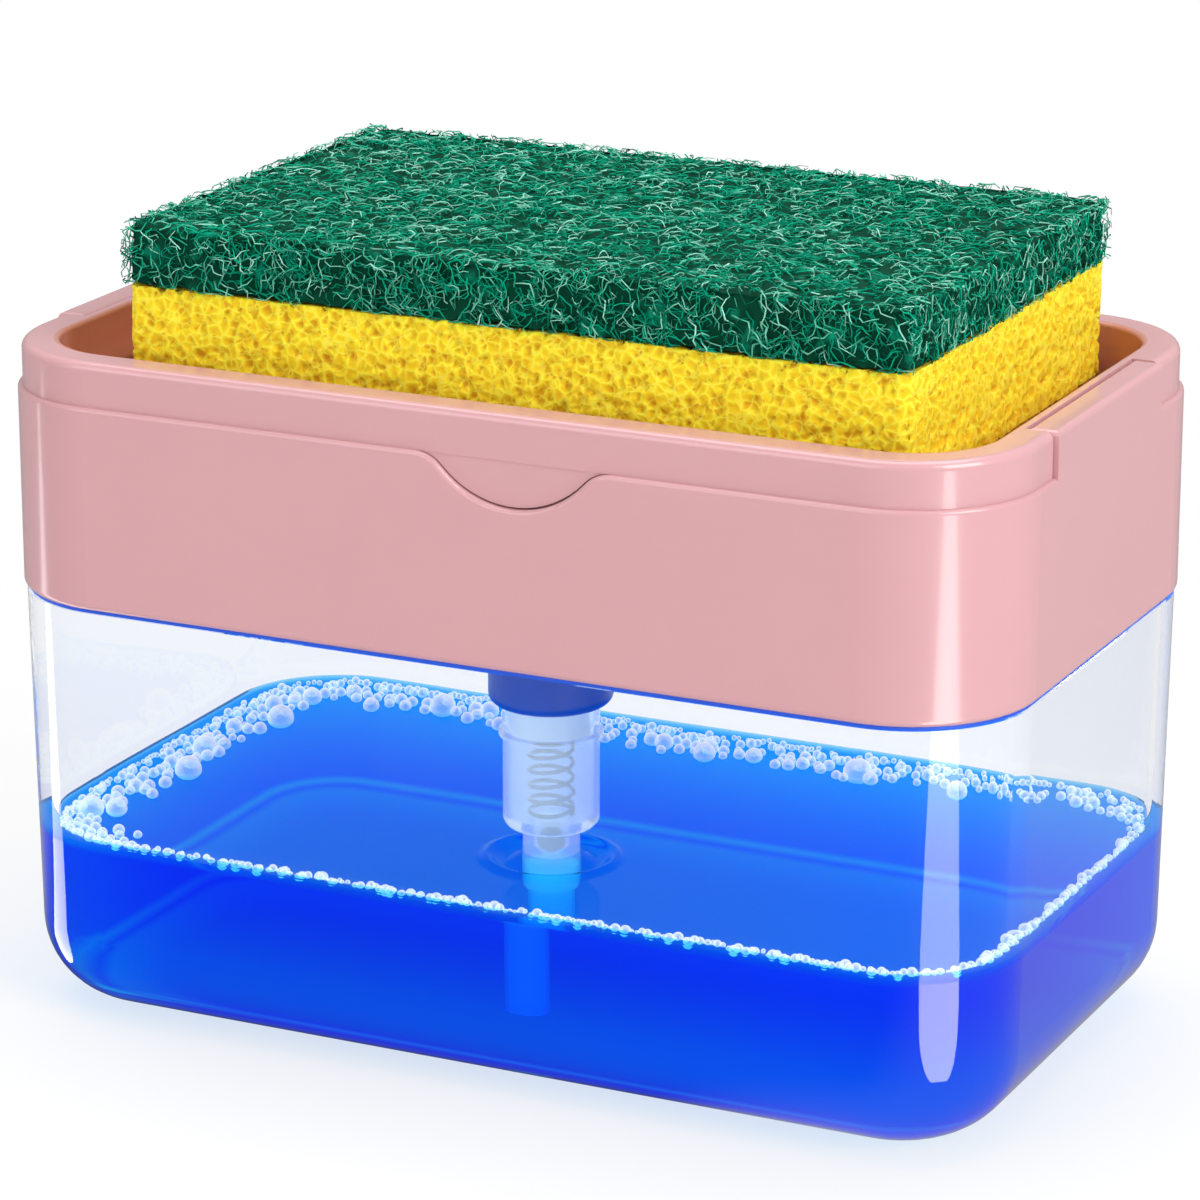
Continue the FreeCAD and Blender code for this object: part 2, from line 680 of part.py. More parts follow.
def make_piston_rod():
    radius, head = cell("rod_radius"), cell("rod_head_radius")
    plug = cell("stem_bore") - cell("slide_gap")
    rod_top = stem_bottom + cell("rod_plug_length")
    plug_bottom = rod_top - cell("rod_plug_length") / 3
    body, turn = turned("piston_rod", [
        (ZERO, rod_head_bottom), (head, rod_head_bottom), (head, rod_head_top), (radius, rod_head_top),
        (radius, plug_bottom), (plug, plug_bottom), (plug, rod_top), (ZERO, rod_top),
    ])
    flats = new_sketch(body, "rod_flow_flats", rod_top)
    for side in (1, -1):
        near, far = radius / 2 * side, (plug + gap) * side
        low, high = (near, far) if side > 0 else (far, near)
        rectangle(flats, -plug - gap, plug + gap, low, high)
    pocket(body, "rod_flats", flats, rod_top - plug_bottom)
    return body


def make_piston():
    outer = cell("cylinder_bore") - cell("slide_gap") / 2
    inner = cell("rod_radius") + cell("slide_gap")
    lip = cell("piston_lip")
    hub = cell("stem_foot_radius")
    waist, tip, relief = outer - lip, outer - lip / 2, outer - lip / 3
    upper_web, lower_web = hub_top - lip / 2, hub_bottom + lip
    return turned("piston", [
        (inner, hub_bottom), (hub, hub_bottom), (hub + lip / 2, lower_web), (waist, piston_bottom + lip),
        (tip, piston_bottom), (outer, piston_bottom), (outer, piston_bottom + lip), (relief, lower_web),
        (relief, upper_web), (outer, piston_top - lip), (outer, piston_top), (tip, piston_top),
        (waist, upper_web), (hub, hub_top), (inner, hub_top),
    ])


def make_stem_guide():
    outer = cell("well_bore") - cell("slide_gap")
    spigot = cell("cylinder_bore") - cell("slide_gap")
    bore = cell("stem_radius") + cell("slide_gap")
    spigot_bore = spigot - cell("guide_spigot_wall")
    bottom = flange_top - cell("guide_spigot")
    return turned("stem_guide", [
        (bore, flange_top), (spigot_bore, flange_top), (spigot_bore, bottom), (spigot, bottom),
        (spigot, flange_top), (outer, flange_top), (outer, guide_top), (bore, guide_top),
    ])


def make_pump_gasket():
    inner, outer = cell("well_bore") + cell("slide_gap"), cell("well_radius") - cell("slide_gap")
    return turned("pump_gasket", [
        (inner, flange_top), (outer, flange_top), (outer, well_bottom), (inner, well_bottom),
    ])


def make_pump_collar():
    bottom, top = cell("collar_bottom"), cell("collar_bottom") + cell("collar_height")
    hole = cell("cylinder_radius") + cell("thread_gap")
    bore = cell("well_radius") + cell("thread_gap")
    outer = bore + cell("collar_wall")
    body, turn = turned("pump_collar", [
        (hole, bottom), (outer, bottom), (outer, top), (bore, top),
        (bore, flange_bottom), (hole, flange_bottom),
    ])

    def lower_rim(edge):
        return level_edge(bottom)(edge) and edge.BoundBox.XLength > hole.value * 2 + CLOSE

    rounded(body, "collar_rounding", turn, lower_rim, cell("collar_round"))
    return body


def make_pump_cylinder():
    outer, bore, flange = cell("cylinder_radius"), cell("cylinder_bore"), cell("well_radius")
    bottom, bead, size = cell("cylinder_bottom"), flange_bottom - cell("bead_drop"), cell("bead_size")
    neck, passage = cell("inlet_neck_radius"), cell("inlet_bore")
    chamber = cell("ball_radius") + cell("ball_gap")
    socket = cell("dip_tube_radius") + cell("slide_gap") / 2
    seat_top = throat + chamber - passage
    lip = cell("ball_radius") - cell("retainer_lip")
    body, turn = turned("pump_cylinder", [
        (socket, neck_bottom), (neck, neck_bottom), (neck, bottom), (outer, bottom), (outer, bead - size),
        (outer + size, bead - size / 2), (outer + size, bead + size / 2), (outer, bead + size),
        (outer, flange_bottom), (flange, flange_bottom), (flange, flange_top), (bore, flange_top),
        (bore, cylinder_inside), (lip, cylinder_inside), (chamber, chamber_top), (chamber, seat_top),
        (passage, throat), (passage, tube_top), (socket, tube_top),
    ])

    def lower_rim(edge):
        return level_edge(bottom)(edge) and edge.BoundBox.XLength > outer.value * 2 - CLOSE

    rounded(body, "cylinder_rounding", turn, lower_rim, cell("cylinder_round"))
    return body


def make_inlet_ball():
    ball = doc.addObject("Part::Sphere", "inlet_ball")
    ball.Label = "inlet_ball"
    bind(ball, "Radius", cell("ball_radius"))
    on_pump_axis(ball)
    bind(ball, "Placement.Base.z", ball_centre)
    return ball


def make_dip_tube():
    outer, wall = cell("dip_tube_radius"), cell("dip_tube_wall")
    return turned("dip_tube", [
        (outer - wall, tube_bottom), (outer, tube_bottom), (outer, tube_top - cell("slide_gap")),
        (outer - wall, tube_top - cell("slide_gap")),
    ])


def helix_point(turns):
    """Place and direction on the spring's centre line after some turns."""
    radius, wire = cell("spring_radius").value, cell("spring_wire").value
    low, high = spring_bottom.value + wire / 2, spring_top.value - wire / 2
    rise = (high - low) / cell("spring_turns").value
    angle = 2 * math.pi * turns
    place = FreeCAD.Vector(radius * math.cos(angle), radius * math.sin(angle), low + rise * turns)
    ahead = FreeCAD.Vector(-radius * math.sin(angle), radius * math.cos(angle), rise / (2 * math.pi))
    return place, ahead.normalize()


def arc_between(start, corner_point, finish):
    """The arc that leaves start towards corner_point and reaches finish from it."""
    chord_middle = (start + finish) * 0.5
    cosine = (finish - start).Length / 2 / (corner_point - start).Length
    middle = chord_middle + (corner_point - chord_middle) * (cosine / (1 + cosine))
    return Part.Arc(start, middle, finish).toShape()


def biarc(start, leaving, finish, arriving):
    """Two arcs with equal handles that join two points along the given directions."""
    span = finish - start
    both = leaving + arriving
    spread = 2 * (1 - leaving.dot(arriving))
    reach = span.dot(both)
    handle = (-reach + math.sqrt(reach ** 2 + spread * span.dot(span))) / spread
    joint = (start + finish + (leaving - arriving) * handle) * 0.5
    return [
        arc_between(start, start + leaving * handle, joint),
        arc_between(joint, finish - arriving * handle, finish),
    ]


QUARTER_TURN = 0.25


def make_spring():
    wire, turns = cell("spring_wire").value, cell("spring_turns").value
    edges = []
    for step in range(round(turns / QUARTER_TURN)):
        start, leaving = helix_point(step * QUARTER_TURN)
        finish, arriving = helix_point((step + 1) * QUARTER_TURN)
        edges += biarc(start, leaving, finish, arriving)
    path = Part.Wire(edges)
    start, leaving = helix_point(0)
    section = Part.Wire(Part.Circle(start, leaving, wire / 2).toShape())
    spring = doc.addObject("Part::Feature", "return_spring")
    spring.Label = "return_spring"
    spring.Shape = path.makePipeShell([section], True, False)
    on_pump_axis(spring)
    print_spring_gap(wire, turns)
    return spring


def print_spring_gap(wire, turns):
    """Prints the least gap between the spring's turns, measured on points of its centre line."""
    steps_per_turn = 24
    points = [helix_point(n / steps_per_turn)[0] for n in range(round(turns * steps_per_turn) + 1)]
    far = steps_per_turn // 2
    nearest = min((a - b).Length for n, a in enumerate(points) for b in points[n + far:])
    print(f"return_spring least gap between turns {nearest - wire:.2f} mm")


# Sponge: a foam block with a scouring pad bonded on top
def make_sponge_block(name, level, depth):
    body = new_body(name)
    outline = new_sketch(body, f"{name}_outline", level)
    rounded_rectangle(outline, sponge_length, sponge_width, cell("sponge_corner"))
    pad(body, f"{name}_block", outline, depth)
    bind(body, "Placement.Base.x", cell("sponge_offset"))
    return body


make_tank()
make_seal_ring()
make_housing()
make_frame()
make_press_plate()
make_outlet_nozzle()
make_stem()
make_piston_rod()
make_piston()
make_stem_guide()
make_pump_gasket()
make_pump_collar()
make_pump_cylinder()
make_inlet_ball()
make_dip_tube()
make_spring()
make_sponge_block("sponge_foam", sponge_bottom, cell("foam_thickness"))
make_sponge_block("scouring_pad", foam_top, cell("pad_thickness"))
doc.recompute()

NODES = [
    "tank", "seal_ring", "housing", "top_frame", "press_plate", "outlet_nozzle", "pump_stem", "piston_rod",
    "piston", "stem_guide", "pump_gasket", "pump_collar", "pump_cylinder", "inlet_ball", "dip_tube",
    "return_spring", "sponge_foam", "scouring_pad",
]
failed = [o.Label for o in doc.Objects if "Invalid" in o.State or "Error" in o.State]
if failed:
    raise RuntimeError(f"these did not compute: {failed}")
os.makedirs("parts", exist_ok=True)
for node in NODES:
    shape = doc.getObjectsByLabel(node)[0].Shape
    if shape.isNull() or not shape.isValid() or not shape.Solids:
        raise RuntimeError(f"{node} has no valid solid")
    shape.exportStep(os.path.join("parts", f"{node}.step"))
    print(f"{node}: {len(shape.Solids)} solid, {shape.Volume:.1f} mm3")
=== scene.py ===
"""Looks of the soap pump caddy: materials, soap, foam, spring, sponge and a white stage."""

import math

import bpy
import numpy as np
from bpy.props import FloatProperty, FloatVectorProperty, IntProperty, PointerProperty
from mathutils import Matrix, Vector, kdtree, noise


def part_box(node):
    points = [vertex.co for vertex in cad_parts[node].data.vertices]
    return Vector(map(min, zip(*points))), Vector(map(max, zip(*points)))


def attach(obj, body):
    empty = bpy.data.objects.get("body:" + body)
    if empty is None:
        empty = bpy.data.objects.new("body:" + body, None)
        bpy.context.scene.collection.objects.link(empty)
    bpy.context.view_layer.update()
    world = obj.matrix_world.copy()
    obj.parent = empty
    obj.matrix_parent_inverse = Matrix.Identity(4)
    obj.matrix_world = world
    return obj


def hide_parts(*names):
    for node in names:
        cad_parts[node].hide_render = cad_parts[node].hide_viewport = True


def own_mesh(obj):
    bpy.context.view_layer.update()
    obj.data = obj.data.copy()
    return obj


bl_info = {
    "name": "Soap pump caddy looks",
    "version": (1, 0, 0),
    "blender": (4, 5, 0),
    "location": "3D View > Sidebar > Caddy",
    "description": "Dresses the packed soap pump caddy and sets a white stage",
    "category": "Object",
}

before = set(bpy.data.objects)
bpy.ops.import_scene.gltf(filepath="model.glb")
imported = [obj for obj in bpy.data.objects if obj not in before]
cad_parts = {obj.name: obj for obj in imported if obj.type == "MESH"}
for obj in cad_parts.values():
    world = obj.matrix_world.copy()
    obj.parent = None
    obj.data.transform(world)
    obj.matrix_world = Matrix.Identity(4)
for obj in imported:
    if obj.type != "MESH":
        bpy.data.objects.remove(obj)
MM = 0.001
PUMP = (0.0, -15.5)  # mm, where the pump's axis stands

# moulded surfaces
DRIFT_SIZE = 22  # mm, patches of slowly changing colour
NOISE_LOW, NOISE_HIGH = 0.3, 0.7  # most of a noise pattern lies between these
GLOSS_SPREAD = 0.1  # share by which the grain changes the roughness
GRAIN_BUMP = 0.05  # strength of the grain's relief

# where the tank is wet, and where the sponge's yellow light is painted on the frame
CORNER_SHARE = 0.9  # rounding of the cavity's mask, as a share of its corner radius
INNER_GAP = 1.2  # mm, the tank's inner faces lie nearer to the cavity than this
UNDERSIDE = 1.0  # mm, lower than this is the tank's underside
FRAME_HALF = (57.6, 26.6)  # mm, half sizes of the frame's inside without its rounded corners
FRAME_CORNER = 12.0  # mm
TALL = 1.0  # m, above everything
PAINTED_LIGHT_FROM, PAINTED_LIGHT_TO = 76, 95  # mm, heights over which the painted sponge light comes in
PAINTED_LIGHT_SHARE = 0.75  # its share at the top

# soap
HALVINGS = 40  # steps of the search for the wall
FARTHEST = 140.0  # mm, beyond every wall
SMALLEST_CORNER = 2.0  # mm
MENISCUS_FADE = 1.1  # mm
COLUMNS = 480  # points in a ring of the soap
BOTTOM_LIFT = 0.4  # mm, underside of the soap over its deepest overlap
BOTTOM_INSET, FOOT_INSET = 0.8, 0.5  # mm, how much less the underside reaches into the wall
BOTTOM_SHARES = (0.15, 0.5, 0.85)
ROUND_HEIGHTS = (0.15, 0.5, 1.2, 2.2, 3.6, 5.4, 7.5, 10.0)  # mm over the floor
STRAIGHT_FROM, STRAIGHT_RINGS = 12, 7  # mm over the floor, and rings from there to the level
NECK_ZONE, NECK_STEP = 18.0, 0.4  # mm, radius and spacing of the round rings about the pump
SURFACE_SHARES = (1, 0.995, 0.985, 0.97, 0.95, 0.92, 0.88, 0.82, 0.74, 0.6, 0.4, 0.2)
NECK_RADIUS, NECK_CLIMB, NECK_FADE = 4.0, 1.1, 0.9  # mm, the soap climbs at the dip tube
CREST, CREST_WIDTH = 9.0, 0.8  # mm, raised part of the ring
DIP, DIP_WIDTH = 6.9, 1.0  # mm, its hollow
SWELL_SIZE, SWELL_SLICE, SWELL_HEIGHT = 17, 0.4, 0.1  # mm, slow unevenness of the surface
PAINTED_GLINT_LINES = (0.08, 0.13, 0.2, 0.27)  # shares of the floor's rounding: pale, dark blue, painted glint, dark blue

# bubbles, in mm
EDGE_STEP = 0.8  # spacing of the line along the wall
EDGE_SIZES, EDGE_INSETS, EDGE_LIFTS = (0.3, 0.85), (0.8, 2.6), (-0.1, 0.5)  # radii, insets in radii, heights
FOAM_TRIES = 16000
BACK_SLOPE, BACK_FROM, BACK_FADE, LEFT_END = 0.35, 12, 6, -55  # where the ring turns from thin to wide
SMALL, SMALL_SPREAD = 0.28, 0.35  # radii everywhere
LARGE_SPREAD, LARGE_POWER, LARGE_LEAST = 1.5, 4, 0.3  # added to them where the ring is wide
THIN_BAND, WIDE_BAND, BAND_WAVE = 1.0, 6.5, 2.5  # widths of the ring
BAND_WAVE_SIZE, BAND_SLICE, BAND_POWER = 9, 2.0, 0.7
WALL_GAP, PACKING, FLOAT_SHARE = 0.8, 0.86, 0.25  # shares of the bubbles' radii
FINE_OVER = 0.8  # radius from which a bubble gets the finer mesh
FINE_MESH, COARSE_MESH = (18, 10), (10, 6)  # columns and rows

# spring
POINTS_PER_TURN, WIRE_SIDES = 44, 12
CLOSED_TURN = 0.8  # turns that lie flat at each end
END_RISE = 0.12  # share of the rise that all turns take part in, the flat ones too

# sponge, in mm
CAP_MIDDLE = 1.2  # half width of the smallest ring on a flat face
EDGE_INSET, EDGE_MIDDLE, EDGE_DROP, SIDE_DROP = 0.3, 0.08, 0.12, 0.4  # rounding of the edges
PORE_MARGIN, PORE_SHELL = 1, 2.5  # pores lie this far beyond the faces and inside them
PORE_SIZES, PORE_POWER, PORE_SHARE, PORE_CURVE = (0.35, 1.0), 1.3, 0.62, 0.6
NEAREST_PORES = 3
SAG_SIZE, SAG, SAG_SINK = 13, 0.3, 0.1  # slow unevenness of the faces
WEB_FINE, WEB_COARSE, WEB_COARSE_SHARE = 1.4, 4.5, 0.8  # unevenness of the pad's web
WEB_RELIEF, WEB_SINK = 0.5, 0.45
# painted shade of the web: lighter where it is raised, darker in its hollows
PAINTED_WEB_SHADE, PAINTED_WEB_SHADE_LEAST, PAINTED_WEB_SHADE_MOST = 0.5, 0.15, 0.6
SIDE_WEIGHT = 1.6  # fibres are this much denser on the sides
REACHES, CURLS, HUMPS, SINKS = (0.7, 2.1), (-1.6, 1.6), (0.0, 0.9), (-0.5, 0.1)  # of the fibres
THICKNESSES = (0.75, 1.3)  # shares of a fibre's usual thickness
FIBRE_STEPS, FIBRE_SIDES = 5, 3
WAVE_TURN, WAVE_SHIFT, WAVE_HEIGHT = 3.4, 5, 0.45
FIBRE_OUT = 0.5  # farthest that a fibre's middle stands out of the pad
TONE_MIDDLE, TONE_SPREAD = 0.5, 0.22
PATCH_SHARE = 0.6  # how much the patches change a fibre's tone
MIDDLE_TONE = 0.55

# stage
AHEAD, DARK_TO, BRIGHT_FROM = 17, 50, 75  # degrees, middle and edges of the dark part that gloss shows
SIDE_GLOSS = 0.35  # brightness of the rest
SHADOW_NEAR, SHADOW_FAR, SHADOW_GLOW = 0.08, 0.24, 0.62  # m, and the glow of the floor inside the nearer
PAPER_WHITE = 0.92
FLOOR_HALF, FLOOR_DROP = 6.0, 0.0002  # m


def linear(code):
    """An sRGB hex colour as linear red, green and blue, by the sRGB standard's curve."""
    parts = [int(code[i:i + 2], 16) / 255 for i in (1, 3, 5)]
    return [p / 12.92 if p <= 0.04045 else ((p + 0.055) / 1.055) ** 2.4 for p in parts]


def colour(name, description, code):
    return FloatVectorProperty(name=name, description=description, subtype="COLOR", min=0, max=1,
                               default=linear(code))


def decimal(name, description, value, **more):
    return FloatProperty(name=name, description=description, default=value, **more)


def length(name, description, millimetres):
    return decimal(name, description, millimetres * MM, unit="LENGTH")


def degrees(name, description, value):
    return decimal(name, description, math.radians(value), subtype="ANGLE")


def watts(name, description, value):
    return decimal(name, description, value, unit="POWER")


def whole(name, description, value):
    return IntProperty(name=name, description=description, default=value)


def mm(value):
    """A length property in millimetres."""
    return value / MM


class CaddyPlastics(bpy.types.PropertyGroup):
    pink: colour("Pink", "Moulded pink housing, frame and plate", "#D6A3A7")
    # painted light: the sponge's yellow light, painted into the pink inside the frame
    painted_sponge_light: colour("Lit pink", "Pink in the sponge's yellow light", "#D08468")
    clear: colour("Clear", "Tint of the clear tank", "#FAFCFF")
    frosted: colour("Frosted", "Milky pump cylinder and dip tube", "#E2F0FF")
    blue: colour("Blue", "Pump collar", "#0A4FC4")
    white: colour("White", "Pump's inner pieces", "#F1F0EC")
    rubber: colour("Rubber", "Seal ring and gasket", "#0B55E0")
    steel: colour("Steel", "Spring and ball", "#474C52")


class CaddySoap(bpy.types.PropertyGroup):
    tone: colour("Soap", "Light that gets through the soap", "#00F8FF")
    skin: colour("Skin", "Light that gets through the soap's edge at the walls, however thin", "#4AA8FF")
    low_skin: colour("Floor skin", "Light that gets through the soap's edge at the floor", "#A6E2FF")
    # painted highlight: a bright line painted into the soap's edge along the floor's rounding
    painted_glint: colour("Glint", "Bright line along the rounding between floor and walls", "#C8F4FF")
    sheen: colour("Sheen", "Tint of the reflections on the soap's surface", "#50AAFF")
    lit: colour("Lit", "Light that the lamps send through the soap's surface", "#EAF6FF")
    bend: decimal("Bend", "Refractive index of the wall below the level", 1.3)
    density: decimal("Density", "How fast soap takes up light, per metre", 380.0)
    level: length("Level", "Height of the soap", 25.5)
    mouth: length("Mouth", "Height of the tank's mouth", 69.0)
    half_length: length("Half length", "Half the cavity's length at the mouth", 72.0)
    half_width: length("Half width", "Half the cavity's width at the mouth", 41.0)
    corner: length("Corner", "Cavity's corner radius at the mouth", 15.0)
    floor: length("Floor", "Height of the cavity's floor", 2.4)
    floor_round: length("Floor round", "Rounding between the floor and the walls", 10.0)
    draft: degrees("Draft", "Lean of the walls", 0.9)
    overlap: length("Overlap", "How far the soap reaches into the wall, as the wall's lens shows it", 2.1)
    meniscus: length("Meniscus", "Rise of the soap at the wall", 1.3)
    ripple: length("Ripple", "Height of the ring round the pump's neck", 0.6)
    film: colour("Film", "Bubble film", "#F8FCFF")
    film_clear: colour("Clear film", "Light that gets through a bubble", "#F7FCFF")
    seed: whole("Seed", "Seed for the places of the bubbles", 7)


class CaddySpring(bpy.types.PropertyGroup):
    radius: length("Radius", "Middle radius of the coil", 3.05)
    wire: length("Wire", "Wire thickness", 0.6)
    turns: decimal("Turns", "Turns from end to end", 6.5)
    stroke: length("Stroke", "How far the spring is pressed", 6.0)


class CaddySponge(bpy.types.PropertyGroup):
    foam: colour("Foam", "Face of the foam", "#FFE60E")
    # painted shade and painted highlight: pores and pits painted darker and warmer, struts paler
    foam_painted_pore_shade: colour("Pores", "Inside of the foam's pores", "#DE9A00")
    foam_painted_strut_light: colour("Struts", "Threads between the foam's cells", "#FFEE48")
    fibre: colour("Fibre", "Middle tone of the scouring fibres", "#00AC86")
    # painted shade and painted highlight: the dark and pale ends of the fibres' random tones
    fibre_painted_shade: colour("Deep fibre", "Dark between the fibres", "#00432F")
    fibre_painted_highlight: colour("Pale fibre", "Fibres that catch the light", "#B4F2E0")
    pore: length("Pore", "Spacing of the foam's pores", 1.3)
    pore_depth: length("Pore depth", "Depth of the foam's pores", 0.85)
    strands: whole("Strands", "Fibres that stand out of the pad", 7600)
    strand: length("Strand", "Thickness of a fibre", 0.2)
    seed: whole("Seed", "Seed for pores and fibres", 11)


class CaddyStage(bpy.types.PropertyGroup):
    azimuth: degrees("Azimuth", "Camera's turn to the right", 25.55)
    elevation: degrees("Elevation", "Camera's height angle", 17.02)
    distance: length("Distance", "Camera to target", 706.2)
    target: length("Target", "Height that the camera looks at", 58.5)
    lens: decimal("Lens", "Focal length on a 36 mm sensor, in mm", 151.04)
    key: watts("Key", "Power of the key lamp", 7.8)
    fill: watts("Fill", "Power of the front lamp", 3.4)
    top: watts("Top", "Power of the lamp overhead", 6.2)
    strip: watts("Strip", "Power of the right-hand strip lamp", 0.42)
    strip_left: watts("Left strip", "Power of the left-hand strip lamp", 0.1)
    sky: decimal("Sky", "Light from all round", 0.42)
    mirrored: decimal("Mirrored", "Brightness that gloss shows straight ahead", 0.06)
    white: colour("White", "Floor and backdrop", "#FFFFFF")


def add(tree, kind, inputs=None, **settings):
    """Adds a node: settings are its properties, inputs its sockets by name or number.

    An input is a value, another node's socket, or a node, which stands for its first socket.
    """
    node = tree.nodes.new("ShaderNode" + kind)
    for name, value in settings.items():
        setattr(node, name, value)
    for name, value in (inputs or {}).items():
        if isinstance(value, bpy.types.Node):
            value = value.outputs[0]
        if isinstance(value, bpy.types.NodeSocket):
            tree.links.new(value, node.inputs[name])
        else:
            node.inputs[name].default_value = value
    return node


def new_material(name):
    """A material, its empty tree, and the place on the piece as a socket."""
    material = bpy.data.materials.new(name)
    material.use_nodes = True
    tree = material.node_tree
    tree.nodes.clear()
    return material, tree, add(tree, "TexCoord").outputs["Object"]


def opaque(shade, gain=1.0):
    """A colour with full alpha, made lighter or darker by gain."""
    return [min(c * gain, 1.0) for c in shade] + [1.0]


def per_metre(millimetres):
    """Noise scale for features of a size in millimetres: how many of them a metre holds."""
    return 1000 / millimetres


def relief_of(tree, place, size, detail, strength, depth):
    """Noise of a size in millimetres, and a bump from it with a depth in millimetres."""
    grain = add(tree, "TexNoise", {"Vector": place, "Scale": per_metre(size), "Detail": detail})
    return grain, add(tree, "Bump", {"Height": grain, "Strength": strength, "Distance": depth * MM})


def let_lamps_in(tree, surface, tint):
    """Lets the lamps' light through a clear surface, so that what is behind it is lit."""
    path = add(tree, "LightPath").outputs
    lamps = add(tree, "Math", {0: path["Is Shadow Ray"], 1: path["Is Diffuse Ray"]}, operation="MAXIMUM")
    film = add(tree, "BsdfTransparent", {"Color": opaque(tint)})
    return add(tree, "MixShader", {0: lamps, 1: surface, 2: film})


def moulded(name, tint, roughness, grain=0.5, relief=0.01, clear=0.0, ior=1.5, metal=0.0, drift=0.05,
            coat=0.0, wet=None, painted_sponge_light=None, glow=0.0):
    """Moulded plastic or drawn metal: slow drift of colour, fine grain in its gloss and a faint relief. It
    can also paint the sponge's yellow light on inside the frame, and a painted glow.
    """
    material, tree, place = new_material(name)
    slow = add(tree, "TexNoise", {"Vector": place, "Scale": per_metre(DRIFT_SIZE), "Detail": 2.0})
    fine, bump = relief_of(tree, place, size=grain, detail=3.0, strength=GRAIN_BUMP, depth=relief)
    shade = add(tree, "Mix", {0: slow, 6: opaque(tint, 1 - drift), 7: opaque(tint, 1 + drift)},
                data_type="RGBA")
    # painted light: inside the frame the colour is mixed towards the sponge's yellow light
    if painted_sponge_light:
        shade = add(tree, "Mix", {0: sponge_light_paint_mask(tree, place), 6: shade.outputs[2], 7: opaque(painted_sponge_light)},
                    data_type="RGBA")
    if wet:
        inner, low, under = under_soap(tree, place, wet)
        coat = add(tree, "Math", {0: coat, 1: inner}, operation="SUBTRACT")
        ior = add(tree, "MapRange", {"Value": low, "To Min": ior, "To Max": wet.bend})
    gloss = add(tree, "MapRange", {
        "Value": fine, "From Min": NOISE_LOW, "From Max": NOISE_HIGH,
        "To Min": roughness * (1 - GLOSS_SPREAD), "To Max": roughness * (1 + GLOSS_SPREAD)})
    # glow is a painted glow: emission in the piece's own tint, though it is no lamp
    surface = add(tree, "BsdfPrincipled", {
        "Base Color": shade.outputs[2], "Roughness": gloss, "Normal": bump,
        "Transmission Weight": clear, "IOR": ior, "Metallic": metal, "Coat Weight": coat,
        "Emission Color": opaque(tint), "Emission Strength": glow})
    if wet:
        straight = add(tree, "BsdfTransparent")
        surface = add(tree, "MixShader", {0: under, 1: surface, 2: straight})
    if clear:
        surface = let_lamps_in(tree, surface, tint)
    add(tree, "OutputMaterial", {"Surface": surface})
    return material


def beyond(tree, place, half):
    """Distance of a place outside a box about the origin with these half sizes, 0 inside the box."""
    away = add(tree, "VectorMath", {0: place}, operation="ABSOLUTE")
    away = add(tree, "VectorMath", {0: away, 1: half}, operation="SUBTRACT")
    away = add(tree, "VectorMath", {0: away, 1: (0, 0, 0)}, operation="MAXIMUM")
    return add(tree, "VectorMath", {0: away}, operation="LENGTH").outputs["Value"]


def under_soap(tree, place, soap):
    """Three masks: the tank's inside, below the level, and where the wall lets light straight out."""
    corner = soap.corner * CORNER_SHARE
    middle = (0, 0, soap.mouth)
    size = (soap.half_length, soap.half_width, soap.mouth - soap.floor)
    moved = add(tree, "VectorMath", {0: place, 1: middle}, operation="SUBTRACT")
    away = beyond(tree, moved, [s - corner for s in size])
    inner = add(tree, "Math", {0: away, 1: corner + INNER_GAP * MM}, operation="LESS_THAN")
    height = add(tree, "SeparateXYZ", {0: place}).outputs["Z"]
    low = add(tree, "Math", {0: height, 1: soap.level + soap.meniscus / 2}, operation="LESS_THAN")
    wet = add(tree, "Math", {0: inner, 1: low}, operation="MULTIPLY")
    base = add(tree, "Math", {0: height, 1: UNDERSIDE * MM}, operation="LESS_THAN")
    back = add(tree, "NewGeometry").outputs["Backfacing"]
    leaving = add(tree, "Math", {0: low, 1: back}, operation="MULTIPLY")
    under = add(tree, "Math", {0: wet, 1: base}, operation="MAXIMUM")
    under = add(tree, "Math", {0: under, 1: leaving}, operation="MAXIMUM")
    return inner, low, under


def sponge_light_paint_mask(tree, place):
    """Mask of the painted sponge light: rises inside the frame, on the walls and plate that the sponge throws
    its yellow light on.
    """
    away = beyond(tree, place, (FRAME_HALF[0] * MM, FRAME_HALF[1] * MM, TALL))
    inside = add(tree, "Math", {0: away, 1: FRAME_CORNER * MM}, operation="LESS_THAN")
    height = add(tree, "SeparateXYZ", {0: place}).outputs["Z"]
    high = add(tree, "MapRange", {
        "Value": height, "From Min": PAINTED_LIGHT_FROM * MM, "From Max": PAINTED_LIGHT_TO * MM, "To Max": PAINTED_LIGHT_SHARE},
        interpolation_type="SMOOTHSTEP")
    return add(tree, "Math", {0: inside, 1: high}, operation="MULTIPLY")


def new_piece(name, points, faces, body, slot, material):
    """A smooth mesh piece from points in millimetres, riding on a body."""
    mesh = bpy.data.meshes.new(name)
    mesh.from_pydata(np.asarray(points, float) * MM, [], faces)
    mesh.materials.append(material)
    mesh.shade_smooth()
    piece = bpy.data.objects.new(name, mesh)
    bpy.context.scene.collection.objects.link(piece)
    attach(piece, body)
    return piece


def loft(rings):
    """Points and faces of a closed skin over rings of equal count, with a middle point at each end."""
    rings = [np.asarray(ring, float) for ring in rings]
    count = len(rings[0])
    points = np.vstack([*rings, rings[0].mean(axis=0), rings[-1].mean(axis=0)])
    low, high = len(points) - 2, len(points) - 1
    faces = []
    for row in range(len(rings) - 1):
        a = row * count
        for i in range(count):
            j = (i + 1) % count
            faces.append((a + i, a + j, a + count + j, a + count + i))
    top = (len(rings) - 1) * count
    for i in range(count):
        j = (i + 1) % count
        faces.append((j, i, low))
        faces.append((top + i, top + j, high))
    return points, faces


